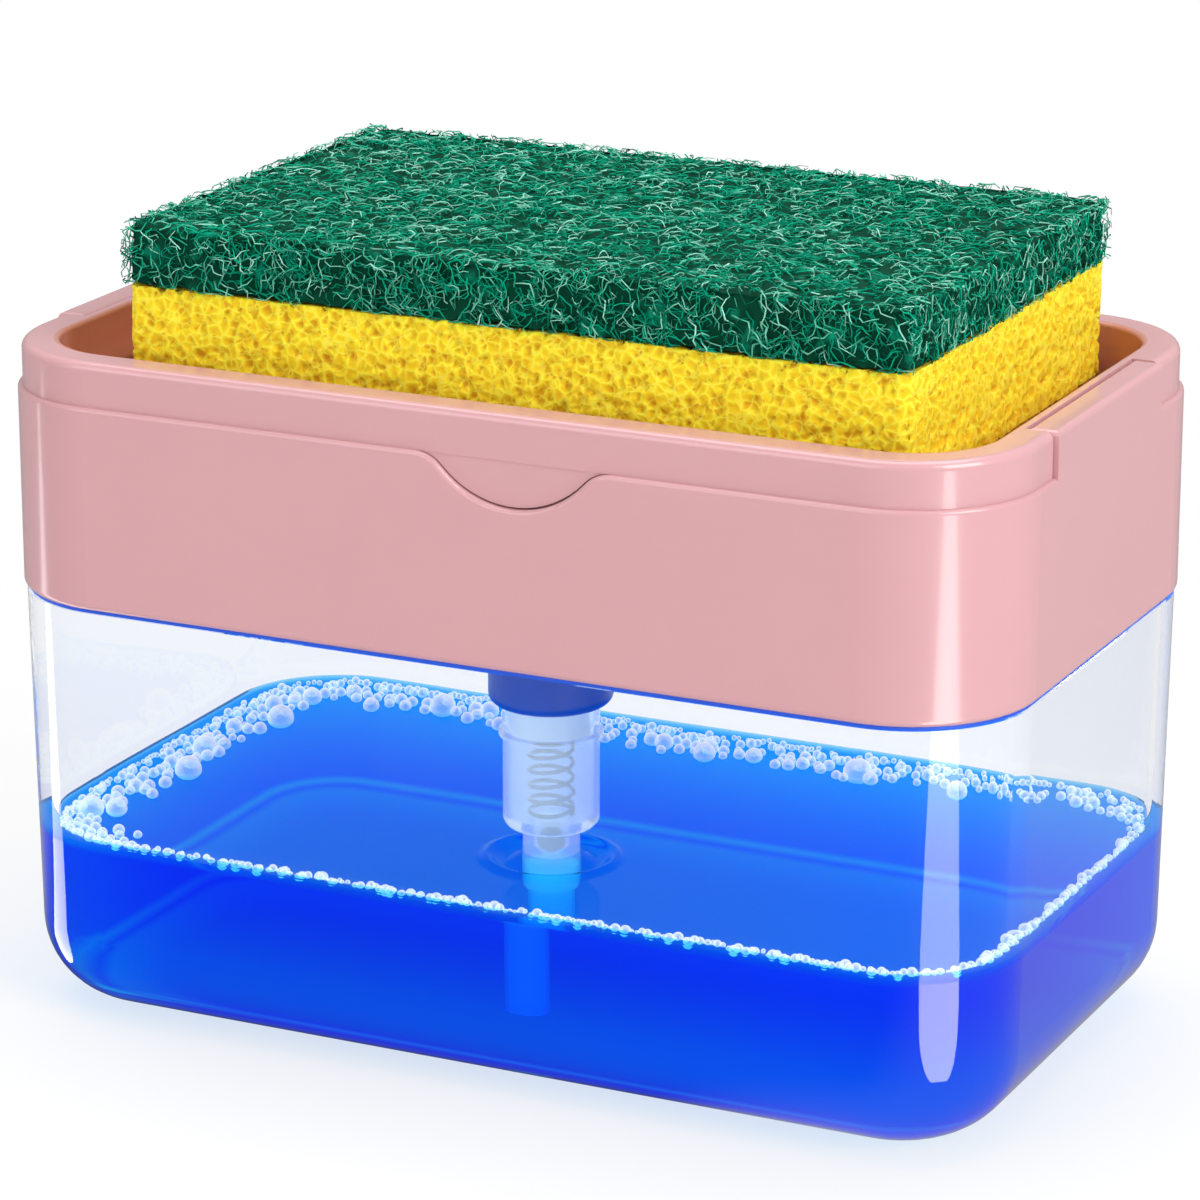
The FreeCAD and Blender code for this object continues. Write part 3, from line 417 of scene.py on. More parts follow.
def off_wall(x, y, half_x, half_y, radius):
    """Signed distance of a point from a rounded rectangle, negative inside."""
    across, along = np.abs(x) - half_x + radius, np.abs(y) - half_y + radius
    outside = np.hypot(np.maximum(across, 0), np.maximum(along, 0))
    return outside + np.minimum(np.maximum(across, along), 0) - radius


def cavity(soap, height, over=0.0):
    """Half length, half width and corner radius of the tank's inside at a height, plus over, all in mm."""
    drop = (mm(soap.mouth) - height) * math.tan(soap.draft)
    turn = mm(soap.floor_round)
    below = max(mm(soap.floor) + turn - height, 0)
    drop += turn - math.sqrt(max(turn ** 2 - below ** 2, 0))
    drop -= over
    corner = max(mm(soap.corner) - drop, SMALLEST_CORNER)
    return mm(soap.half_length) - drop, mm(soap.half_width) - drop, corner


def about_pump(angles, radius):
    """Places at a radius from the pump's axis, in millimetres."""
    return PUMP[0] + radius * np.cos(angles), PUMP[1] + radius * np.sin(angles)


def reach(angles, outline):
    """Distance from the pump's axis to a rounded rectangle, for each angle."""
    near, far = np.zeros(len(angles)), np.full(len(angles), FARTHEST)
    for _ in range(HALVINGS):
        middle = (near + far) / 2
        inside = off_wall(*about_pump(angles, middle), *outline) < 0
        near, far = np.where(inside, middle, near), np.where(inside, far, middle)
    return near


def rise(soap, gap):
    """Height of the soap's surface over its level at a gap from the wall, in millimetres."""
    return mm(soap.meniscus) * np.exp(-np.maximum(gap, 0) / MENISCUS_FADE)


class CADDY_OT_plastics(bpy.types.Operator):
    """Gives the moulded and metal pieces their materials"""

    bl_idname = "object.caddy_plastics"
    bl_label = "Moulded pieces"

    def execute(self, context):
        tones = context.scene.caddy_plastics
        # glossy pink ABS: broad soft highlights with a trace of mould grain, and the sponge's yellow light
        # painted on inside the frame
        pink = moulded("pink_abs", tones.pink, roughness=0.2, relief=0.012, drift=0.02, coat=0.3,
                       painted_sponge_light=tones.painted_sponge_light)
        # clear polystyrene: thin bright wall with crisp gloss outside; its index is far below the real 1.59,
        # because nested walls with that index go black
        clear = moulded("clear_polystyrene", tones.clear, roughness=0.012, grain=9.0, relief=0.02, clear=1.0,
                        ior=1.05, drift=0.0, coat=1.0, wet=context.scene.caddy_soap)
        # natural polypropylene: milky with a faint painted glow, shows the spring as a soft shape; low index
        # as above
        frosted = moulded("frosted_polypropylene", tones.frosted, roughness=0.03, grain=0.8, clear=0.7,
                          ior=1.07, coat=0.5, glow=0.14)
        # blue polypropylene: satin colour seen through the tank
        blue = moulded("blue_polypropylene", tones.blue, roughness=0.35)
        # white acetal: smooth, slightly waxy
        white = moulded("white_acetal", tones.white, roughness=0.32)
        # blue silicone: saturated line under the pink band
        rubber = moulded("blue_silicone", tones.rubber, roughness=0.45)
        # stainless steel: a dark grey spot in the pump's neck, with drawing grain
        steel = moulded("stainless_steel", tones.steel, roughness=0.22, grain=0.2, metal=1.0)
        finishes = {
            pink: ("housing", "top_frame", "press_plate"),
            clear: ("tank",),
            frosted: ("pump_cylinder", "dip_tube"),
            blue: ("pump_collar",),
            white: ("outlet_nozzle", "pump_stem", "piston_rod", "piston", "stem_guide"),
            rubber: ("seal_ring", "pump_gasket"),
            steel: ("inlet_ball",),
        }
        for material, nodes in finishes.items():
            for node in nodes:
                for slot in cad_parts[node].material_slots:
                    slot.material = material
        return {"FINISHED"}


class CADDY_OT_soap(bpy.types.Operator):
    """Fills the tank with soap up to its level, with a meniscus at the walls and a ring at the pump"""

    bl_idname = "object.caddy_soap"
    bl_label = "Soap"

    def execute(self, context):
        soap = context.scene.caddy_soap
        level, floor = mm(soap.level), mm(soap.floor)
        angles = np.linspace(0, 2 * math.pi, COLUMNS, endpoint=False)
        over = mm(soap.overlap)
        outline = cavity(soap, level)
        wall = reach(angles, cavity(soap, level, over))
        rings = []
        heights = [floor - over + BOTTOM_LIFT, *(floor + np.array(ROUND_HEIGHTS)),
                   *np.linspace(floor + STRAIGHT_FROM, level, STRAIGHT_RINGS)]
        base = reach(angles, cavity(soap, floor, over - BOTTOM_INSET))
        for share in BOTTOM_SHARES:
            rings.append(self.ring(angles, base * share, np.full(COLUMNS, heights[0])))
        for height in heights:
            spread = over if height > floor else over - FOOT_INSET
            span = reach(angles, cavity(soap, max(height, floor), spread))
            rings.append(self.ring(angles, span, np.full(COLUMNS, height)))
        spans = [NECK_ZONE + (wall - NECK_ZONE) * share for share in SURFACE_SHARES]
        spans += [np.full(COLUMNS, radius) for radius in np.arange(NECK_ZONE, NECK_STEP, -NECK_STEP)]
        for span in spans:
            x, y = about_pump(angles, span)
            climb = NECK_CLIMB * np.exp(-np.maximum(span - NECK_RADIUS, 0) / NECK_FADE)
            crest = np.exp(-((span - CREST) / CREST_WIDTH) ** 2)
            dip = np.exp(-((span - DIP) / DIP_WIDTH) ** 2)
            wave = climb + mm(soap.ripple) * (crest - dip)
            slow = [noise.noise(Vector((a / SWELL_SIZE, b / SWELL_SIZE, SWELL_SLICE))) for a, b in zip(x, y)]
            swell = np.array(slow) * SWELL_HEIGHT
            height = level + rise(soap, -off_wall(x, y, *outline)) + wave + swell
            rings.append(self.ring(angles, span, height))
        piece = new_piece("soap", *loft(rings), "tank", "clear_plastic", self.liquid(soap))
        walls = (len(BOTTOM_SHARES) + len(heights)) * COLUMNS
        count = len(piece.data.vertices)
        set_values(piece, "side", [float(n < walls or n == count - 2) for n in range(count)])
        return {"FINISHED"}

    def ring(self, angles, span, height):
        """Points about the pump's axis at a distance and a height for each angle."""
        return np.column_stack([*about_pump(angles, span), height])

    def liquid(self, soap):
        """Blue dish soap: clear, saturated, deeper where there is more of it, with a painted highlight line
        at its floor.

        Its index is far below the real 1.35, because nested clear walls with that index go black.
        """
        material, tree, place = new_material("blue_dish_soap")
        _, bump = relief_of(tree, place, size=6, detail=2.0, strength=0.1, depth=0.05)
        surface = add(tree, "BsdfPrincipled", {
            "Base Color": opaque(soap.low_skin), "Roughness": 0.01, "Normal": bump,
            "Transmission Weight": 1.0, "IOR": 1.06, "Specular Tint": opaque(soap.sheen)})
        side = add(tree, "Attribute", attribute_name="side")
        up = add(tree, "SeparateXYZ", {0: place})
        wall = add(tree, "MapRange", {
            "Value": up.outputs["Z"], "From Min": soap.floor, "From Max": soap.floor + soap.floor_round})
        # the edge's tint by height, with the painted glint along the floor's rounding
        skin = add(tree, "ValToRGB", {"Fac": wall})
        lines = skin.color_ramp.elements
        lines[0].color = opaque(soap.low_skin)
        lines[1].color = opaque(soap.skin)
        for share, shade in zip(PAINTED_GLINT_LINES, (soap.low_skin, soap.skin, soap.painted_glint, soap.skin)):
            lines.new(share).color = opaque(shade)
        edge = add(tree, "BsdfTransparent", {"Color": skin})
        surface = add(tree, "MixShader", {0: side.outputs["Fac"], 1: surface, 2: edge})
        surface = let_lamps_in(tree, surface, soap.lit)
        body = add(tree, "VolumeAbsorption", {"Color": opaque(soap.tone), "Density": soap.density})
        add(tree, "OutputMaterial", {"Surface": surface, "Volume": body})
        return material


class CADDY_OT_foam(bpy.types.Operator):
    """Lays bubbles along the soap's edge: a wide ring at the back and left, elsewhere a thin line"""

    bl_idname = "object.caddy_foam"
    bl_label = "Foam ring"

    def execute(self, context):
        soap = context.scene.caddy_soap
        dice = np.random.default_rng(soap.seed)
        level = mm(soap.level)
        outline = cavity(soap, level)
        laid = np.zeros((0, 3))
        heights = []
        for x, y in outline_of(*outline, EDGE_STEP):
            size = dice.uniform(*EDGE_SIZES)
            inward = 1 - (size * dice.uniform(*EDGE_INSETS)) / math.hypot(x, y)
            laid = np.vstack([laid, (x * inward, y * inward, size)])
            gap = -off_wall(x * inward, y * inward, *outline)
            heights.append(level + float(rise(soap, gap)) + dice.uniform(*EDGE_LIFTS))
        for _ in range(FOAM_TRIES):
            x, y = dice.uniform(-1, 1) * outline[0], dice.uniform(-1, 1) * outline[1]
            gap = -off_wall(x, y, *outline)
            behind = (y - BACK_SLOPE * x - BACK_FROM) / BACK_FADE
            wide = 1 / (1 + math.exp(-behind)) if x > LEFT_END else 1.0
            least = SMALL + SMALL_SPREAD * dice.random()
            size = least + wide * (LARGE_SPREAD * dice.random() ** LARGE_POWER + LARGE_LEAST)
            wave = noise.noise(Vector((x / BAND_WAVE_SIZE, y / BAND_WAVE_SIZE, BAND_SLICE)))
            band = THIN_BAND + wide * (WIDE_BAND + BAND_WAVE * wave)
            outside = gap < size * WALL_GAP or gap > band * dice.random() ** BAND_POWER + size
            apart = np.hypot(laid[:, 0] - x, laid[:, 1] - y)
            if outside or np.any(apart < PACKING * (laid[:, 2] + size)):
                continue
            laid = np.vstack([laid, (x, y, size)])
            heights.append(level + float(rise(soap, gap)) + FLOAT_SHARE * size)
        points, faces = self.spheres(laid, heights)
        new_piece("soap_foam", points, faces, "tank", "clear_plastic", self.bubble(soap))
        return {"FINISHED"}

    def spheres(self, laid, heights):
        """One mesh of round bubbles, the larger ones finer."""
        points, faces, total = [], [], 0
        for fine in (False, True):
            columns, rows = FINE_MESH if fine else COARSE_MESH
            turns = np.linspace(0, 2 * math.pi, columns, endpoint=False)
            rings = []
            for tilt in np.linspace(-math.pi / 2, math.pi / 2, rows + 1)[1:-1]:
                across = math.cos(tilt)
                up = np.full(columns, math.sin(tilt))
                rings.append(np.column_stack([across * np.cos(turns), across * np.sin(turns), up]))
            ball, skin = loft(rings)
            ball[-2], ball[-1] = (0, 0, -1), (0, 0, 1)
            for (x, y, size), height in zip(laid, heights):
                if (size > FINE_OVER) == fine:
                    points.append(ball * size + (x, y, height))
                    faces += [[i + total for i in face] for face in skin]
                    total += len(ball)
        return np.vstack(points), faces

    def bubble(self, soap):
        """Soap film: bright rims and small highlights, clear in the middle, with a faint painted glow."""
        material, tree, place = new_material("soap_film")
        _, bump = relief_of(tree, place, size=1.2, detail=2.0, strength=0.2, depth=0.05)
        rim = add(tree, "LayerWeight", {"Blend": 0.62})
        # painted glow: the film's rims give off a little light of their own
        shine = add(tree, "BsdfPrincipled", {
            "Base Color": opaque(soap.film), "Roughness": 0.08, "Normal": bump,
            "Emission Color": opaque(soap.film), "Emission Strength": 0.3})
        film = add(tree, "BsdfTransparent", {"Color": opaque(soap.film_clear)})
        body = add(tree, "MapRange", {"Value": rim.outputs["Facing"], "To Min": 0.2})
        mix = add(tree, "MixShader", {0: body, 1: film, 2: shine})
        add(tree, "OutputMaterial", {"Surface": mix})
        return material


class CADDY_OT_spring(bpy.types.Operator):
    """Winds the pump's return spring, with closed end turns"""

    bl_idname = "object.caddy_spring"
    bl_label = "Return spring"

    def execute(self, context):
        spring = context.scene.caddy_spring
        low, high = (corner[2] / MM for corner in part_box("return_spring"))
        wire, coil = mm(spring.wire) / 2, mm(spring.radius)
        turns = spring.turns
        share = np.linspace(0, 1, int(turns * POINTS_PER_TURN))
        closed = 1 / turns * CLOSED_TURN
        lift = np.clip((share - closed) / (1 - 2 * closed), 0, 1)
        height = low + wire + (high - low - 2 * wire) * (lift * (1 - END_RISE) + share * END_RISE)
        angle = share * turns * 2 * math.pi
        path = np.column_stack([*about_pump(angle, coil), height])
        along = np.gradient(path, axis=0)
        along /= np.linalg.norm(along, axis=1)[:, None]
        outward = np.column_stack([np.cos(angle), np.sin(angle), np.zeros(len(angle))])
        upward = np.cross(along, outward)
        around = np.linspace(0, 2 * math.pi, WIRE_SIDES, endpoint=False)
        rings = []
        for middle, out, up in zip(path, outward, upward):
            rings.append([middle + wire * (math.cos(t) * out + math.sin(t) * up) for t in around])
        points, faces = loft(rings)
        # spring steel: dark grey drawn wire, softened by the milky cylinder in front of it
        steel = moulded("spring_steel", context.scene.caddy_plastics.steel, roughness=0.2, grain=0.15,
                        metal=1.0)
        piece = new_piece("spring", points, faces, "housing", "stainless_steel", steel)
        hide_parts("return_spring")
        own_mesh(piece)
        return {"FINISHED"}


def outline_of(half_x, half_y, radius, step):
    """Points round a rounded rectangle about a step apart."""
    corners = ((1, 1, 0), (-1, 1, 90), (-1, -1, 180), (1, -1, 270))
    arc = max(3, round(radius * math.pi / 2 / step))
    points = []

    def spot(sx, sy, turn):
        centre = np.array([sx * (half_x - radius), sy * (half_y - radius)])
        return centre + radius * np.array([math.cos(math.radians(turn)), math.sin(math.radians(turn))])

    for index, (sx, sy, turn) in enumerate(corners):
        points += [spot(sx, sy, turn + 90 * k / arc) for k in range(arc + 1)]
        nx, ny, _ = corners[(index + 1) % len(corners)]
        here, there = points[-1], spot(nx, ny, turn + 90)
        count = max(2, round(np.linalg.norm(there - here) / step))
        points += [here + (there - here) * k / count for k in range(1, count)]
    return np.array(points)


def block(node, step, radius, cap_step):
    """Rings over a sponge layer, from the middle of its underside up its sides to the middle of its top."""
    low, high = np.array(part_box(node)) / MM
    middle = (low + high) / 2
    half = (high - low) / 2
    border = outline_of(half[0], half[1], radius, step)
    insets = np.arange(half[1] - CAP_MIDDLE, EDGE_INSET, -cap_step)

    def ring(inset, height):
        scale = np.array([(half[0] - inset) / half[0], (half[1] - inset) / half[1]])
        flat = border * scale + middle[:2]
        return np.column_stack([flat, np.full(len(flat), height)])

    bottom, top = low[2], high[2]
    sides = np.linspace(bottom + SIDE_DROP, top - SIDE_DROP, max(3, int((top - bottom) / step)))
    rings = [ring(inset, bottom) for inset in insets]
    rings += [ring(EDGE_INSET, bottom), ring(EDGE_MIDDLE, bottom + EDGE_DROP)]
    rings += [ring(0, height) for height in sides]
    rings += [ring(EDGE_MIDDLE, top - EDGE_DROP), ring(EDGE_INSET, top)]
    rings += [ring(inset, top) for inset in insets[::-1]]
    return loft(rings)


def outward_of(points, node):
    """Unit vectors out of a sponge layer's nearest face at each point."""
    low, high = np.array(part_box(node)) / MM
    gaps = np.stack([points - low, high - points])
    out = np.zeros(points.shape)
    flat = gaps.transpose(1, 0, 2).reshape(len(points), 6)
    side = flat.argmin(axis=1)
    out[np.arange(len(points)), side % 3] = np.where(side < 3, -1.0, 1.0)
    return out


def set_values(piece, name, values):
    """Stores a number at each point of a piece, for its material."""
    attribute = piece.data.attributes.new(name, "FLOAT", "POINT")
    attribute.data.foreach_set("value", np.asarray(values, np.float32))


class CADDY_OT_sponge(bpy.types.Operator):
    """Makes the sponge's yellow foam, with open pores cut into all its faces"""

    bl_idname = "object.caddy_sponge"
    bl_label = "Sponge foam"

    def execute(self, context):
        sponge = context.scene.caddy_sponge
        dice = np.random.default_rng(sponge.seed)
        points, faces = block("sponge_foam", step=0.5, radius=2.0, cap_step=0.9)
        spacing = mm(sponge.pore)
        low, high = np.array(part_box("sponge_foam")) / MM
        steps = [np.arange(a - PORE_MARGIN, b + PORE_MARGIN, spacing) for a, b in zip(low, high)]
        grid = np.stack(np.meshgrid(*steps, indexing="ij"), axis=-1).reshape(-1, 3)
        grid += dice.uniform(-0.5, 0.5, grid.shape) * spacing
        edge = np.minimum(grid - low, high - grid).min(axis=1)
        grid = grid[edge < PORE_SHELL]
        sizes = dice.uniform(*PORE_SIZES, len(grid)) ** PORE_POWER * spacing * PORE_SHARE
        tree = kdtree.KDTree(len(grid))
        for number, place in enumerate(grid):
            tree.insert(place, number)
        tree.balance()
        depth = np.zeros(len(points))
        for number, place in enumerate(points):
            for _, index, away in tree.find_n(place, NEAREST_PORES):
                depth[number] = max(depth[number], 1 - (away / sizes[index]) ** 2)
        sag = np.array([noise.noise(Vector(p / SAG_SIZE)) for p in points]) * SAG - SAG_SINK
        push = sag - depth ** PORE_CURVE * mm(sponge.pore_depth)
        points = points + outward_of(points, "sponge_foam") * push[:, None]
        piece = new_piece("sponge_foam_body", points, faces, "sponge", "yellow_foam", self.foam(sponge))
        set_values(piece, "pore", depth)
        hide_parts("sponge_foam")
        return {"FINISHED"}

    def foam(self, sponge):
        """Polyurethane foam: matt yellow, with painted shade that makes pores and pits darker and warmer, and
        a painted highlight on the pale struts between them.
        """
        material, tree, place = new_material("yellow_polyurethane_foam")
        pore = add(tree, "Attribute", attribute_name="pore")
        stir = add(tree, "TexNoise", {"Vector": place, "Scale": per_metre(2.0)})
        bent = add(tree, "VectorMath", {0: stir.outputs["Color"], 1: (MM, MM, MM), 2: place},
                   operation="MULTIPLY_ADD")
        cells = add(tree, "TexVoronoi", {"Vector": bent, "Scale": per_metre(1.5)}, feature="DISTANCE_TO_EDGE")
        # painted shade: darker towards the middle of each cell, and darkest in the pores and pits
        painted_cell_shade = add(tree, "MapRange", {
            "Value": cells.outputs["Distance"], "From Min": 0.06, "From Max": 0.3, "To Max": 0.4})
        painted_pore_shade = add(tree, "Math", {0: pore.outputs["Fac"], 1: 0.7, 2: painted_cell_shade}, operation="MULTIPLY_ADD")
        pits = add(tree, "TexVoronoi", {"Vector": bent, "Scale": per_metre(1.4)})
        painted_pit_shade = add(tree, "MapRange", {
            "Value": pits.outputs["Distance"], "From Min": 0.14, "From Max": 0.34,
            "To Min": 0.8, "To Max": 0.0})
        painted_pore_shade = add(tree, "Math", {0: painted_pore_shade, 1: painted_pit_shade}, operation="MAXIMUM")
        shade = add(tree, "Mix", {
            0: painted_pore_shade, 6: opaque(sponge.foam), 7: opaque(sponge.foam_painted_pore_shade)}, data_type="RGBA")
        # painted highlight on the struts along the cells' edges
        painted_strut_light = add(tree, "MapRange", {
            "Value": cells.outputs["Distance"], "From Min": 0.02, "From Max": 0.1,
            "To Min": 0.8, "To Max": 0.0})
        shade = add(tree, "Mix", {
            0: painted_strut_light, 6: shade.outputs[2], 7: opaque(sponge.foam_painted_strut_light)}, data_type="RGBA")
        bump = add(tree, "Bump", {
            "Height": cells.outputs["Distance"], "Strength": 0.5, "Distance": 0.6 * MM}, invert=True)
        surface = add(tree, "BsdfPrincipled", {
            "Base Color": shade.outputs[2], "Roughness": 0.85, "Normal": bump,
            "Subsurface Weight": 0.25, "Subsurface Scale": 1.5 * MM})
        add(tree, "OutputMaterial", {"Surface": surface})
        return material


class CADDY_OT_scourer(bpy.types.Operator):
    """Makes the sponge's scouring pad: a rough web with thousands of curly fibres on it"""

    bl_idname = "object.caddy_scourer"
    bl_label = "Scouring pad"

    def execute(self, context):
        sponge = context.scene.caddy_sponge
        dice = np.random.default_rng(sponge.seed + 1)
        points, faces = block("scouring_pad", step=0.8, radius=2.0, cap_step=0.9)
        fine = np.array([noise.noise(Vector(p / WEB_FINE)) for p in points])
        coarse = np.array([noise.noise(Vector(p / WEB_COARSE)) for p in points])
        rough = fine + WEB_COARSE_SHARE * coarse
        points = points + outward_of(points, "scouring_pad") * (rough * WEB_RELIEF - WEB_SINK)[:, None]
        # the web is painted darker, as shade between the fibres, and lighter where it is raised
        web = self.fibre("green_fibre_web", sponge, darker=0.3)
        core = new_piece("scouring_web", points, faces, "sponge", "green_fibre", web)
        set_values(core, "tint", np.clip(rough * PAINTED_WEB_SHADE + PAINTED_WEB_SHADE_LEAST, 0, PAINTED_WEB_SHADE_MOST))
        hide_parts("scouring_pad")
        strands, skin, tints = self.strands(sponge, dice)
        nylon = self.fibre("green_nylon_fibre", sponge, darker=0.0)
        hairs = new_piece("scouring_fibres", strands, skin, "sponge", "green_fibre", nylon)
        set_values(hairs, "tint", tints)
        return {"FINISHED"}

    def strands(self, sponge, dice):
        """Curved thin tubes that lie on the pad's top and sides, and stand out a little along its edges."""
        low, high = np.array(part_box("scouring_pad")) / MM
        size = high - low
        front, end = size[0] * size[2], size[1] * size[2]
        areas = np.array([size[0] * size[1], front, front, end, end])
        areas[1:] *= SIDE_WEIGHT
        count = sponge.strands
        faces = dice.choice(len(areas), size=count, p=areas / areas.sum())
        normals = np.array([(0, 0, 1), (0, -1, 0), (0, 1, 0), (1, 0, 0), (-1, 0, 0)], float)[faces]
        spots = low + dice.random((count, 3)) * size
        spots = np.where(normals > 0, high, np.where(normals < 0, low, spots))
        turn = dice.normal(size=(count, 3))
        along = turn - (turn * normals).sum(axis=1)[:, None] * normals
        along /= np.linalg.norm(along, axis=1)[:, None]
        aside = np.cross(normals, along)
        span = dice.uniform(*REACHES, count)
        curl = dice.uniform(*CURLS, count)
        hump = dice.uniform(*HUMPS, count)
        sink = dice.uniform(*SINKS, count)
        thick = mm(sponge.strand) / 2 * dice.uniform(*THICKNESSES, count)
        steps, sides = FIBRE_STEPS, FIBRE_SIDES
        rows = []
        for t in np.linspace(-1, 1, steps):
            wave = np.sin(t * WAVE_TURN + curl * WAVE_SHIFT) * WAVE_HEIGHT
            middle = spots + along * (t * span)[:, None] + aside * (curl * t * t + wave)[:, None]
            middle += normals * (sink + hump * (1 - t * t))[:, None]
            middle = np.clip(middle, low - (FIBRE_OUT, FIBRE_OUT, 0.0), high + FIBRE_OUT)
            for k in range(sides):
                angle = 2 * math.pi * k / sides
                rows.append(middle + (aside * math.cos(angle) + normals * math.sin(angle)) * thick[:, None])
        points = np.stack(rows, axis=1).reshape(-1, 3)
        skin = []
        for row in range(steps - 1):
            for k in range(sides):
                a, b = row * sides + k, row * sides + (k + 1) % sides
                skin.append((a, b, b + sides, a + sides))
        last = (steps - 1) * sides
        skin += [(2, 1, 0), (last, last + 1, last + 2)]
        faces = [tuple(i + n * steps * sides for i in face) for n in range(count) for face in skin]
        tones = dice.normal(TONE_MIDDLE, TONE_SPREAD, count)
        return points, faces, np.repeat(np.clip(tones, 0, 1), steps * sides)

    def fibre(self, name, sponge, darker):
        """Green nylon: each fibre its own random tone, from painted shade at the dark end to a painted
        highlight at the pale end, with a dull plastic shine.
        """
        material, tree, place = new_material(name)
        tint = add(tree, "Attribute", attribute_name="tint")
        patch, bump = relief_of(tree, place, size=1.5, detail=4.0, strength=0.4, depth=0.2)
        # darker shifts every tone towards the painted shade
        tone = add(tree, "Math", {0: patch, 1: PATCH_SHARE, 2: -PATCH_SHARE / 2 - darker},
                   operation="MULTIPLY_ADD")
        tone = add(tree, "Math", {0: tint.outputs["Fac"], 1: tone}, operation="ADD")
        ramp = add(tree, "ValToRGB", {"Fac": tone})
        tones = ramp.color_ramp.elements
        tones[0].color = opaque(sponge.fibre_painted_shade)
        tones[1].color = opaque(sponge.fibre_painted_highlight)
        tones.new(MIDDLE_TONE).color = opaque(sponge.fibre)
        surface = add(tree, "BsdfPrincipled", {
            "Base Color": ramp, "Roughness": 0.55, "Specular IOR Level": 0.06, "Normal": bump})
        add(tree, "OutputMaterial", {"Surface": surface})
        return material


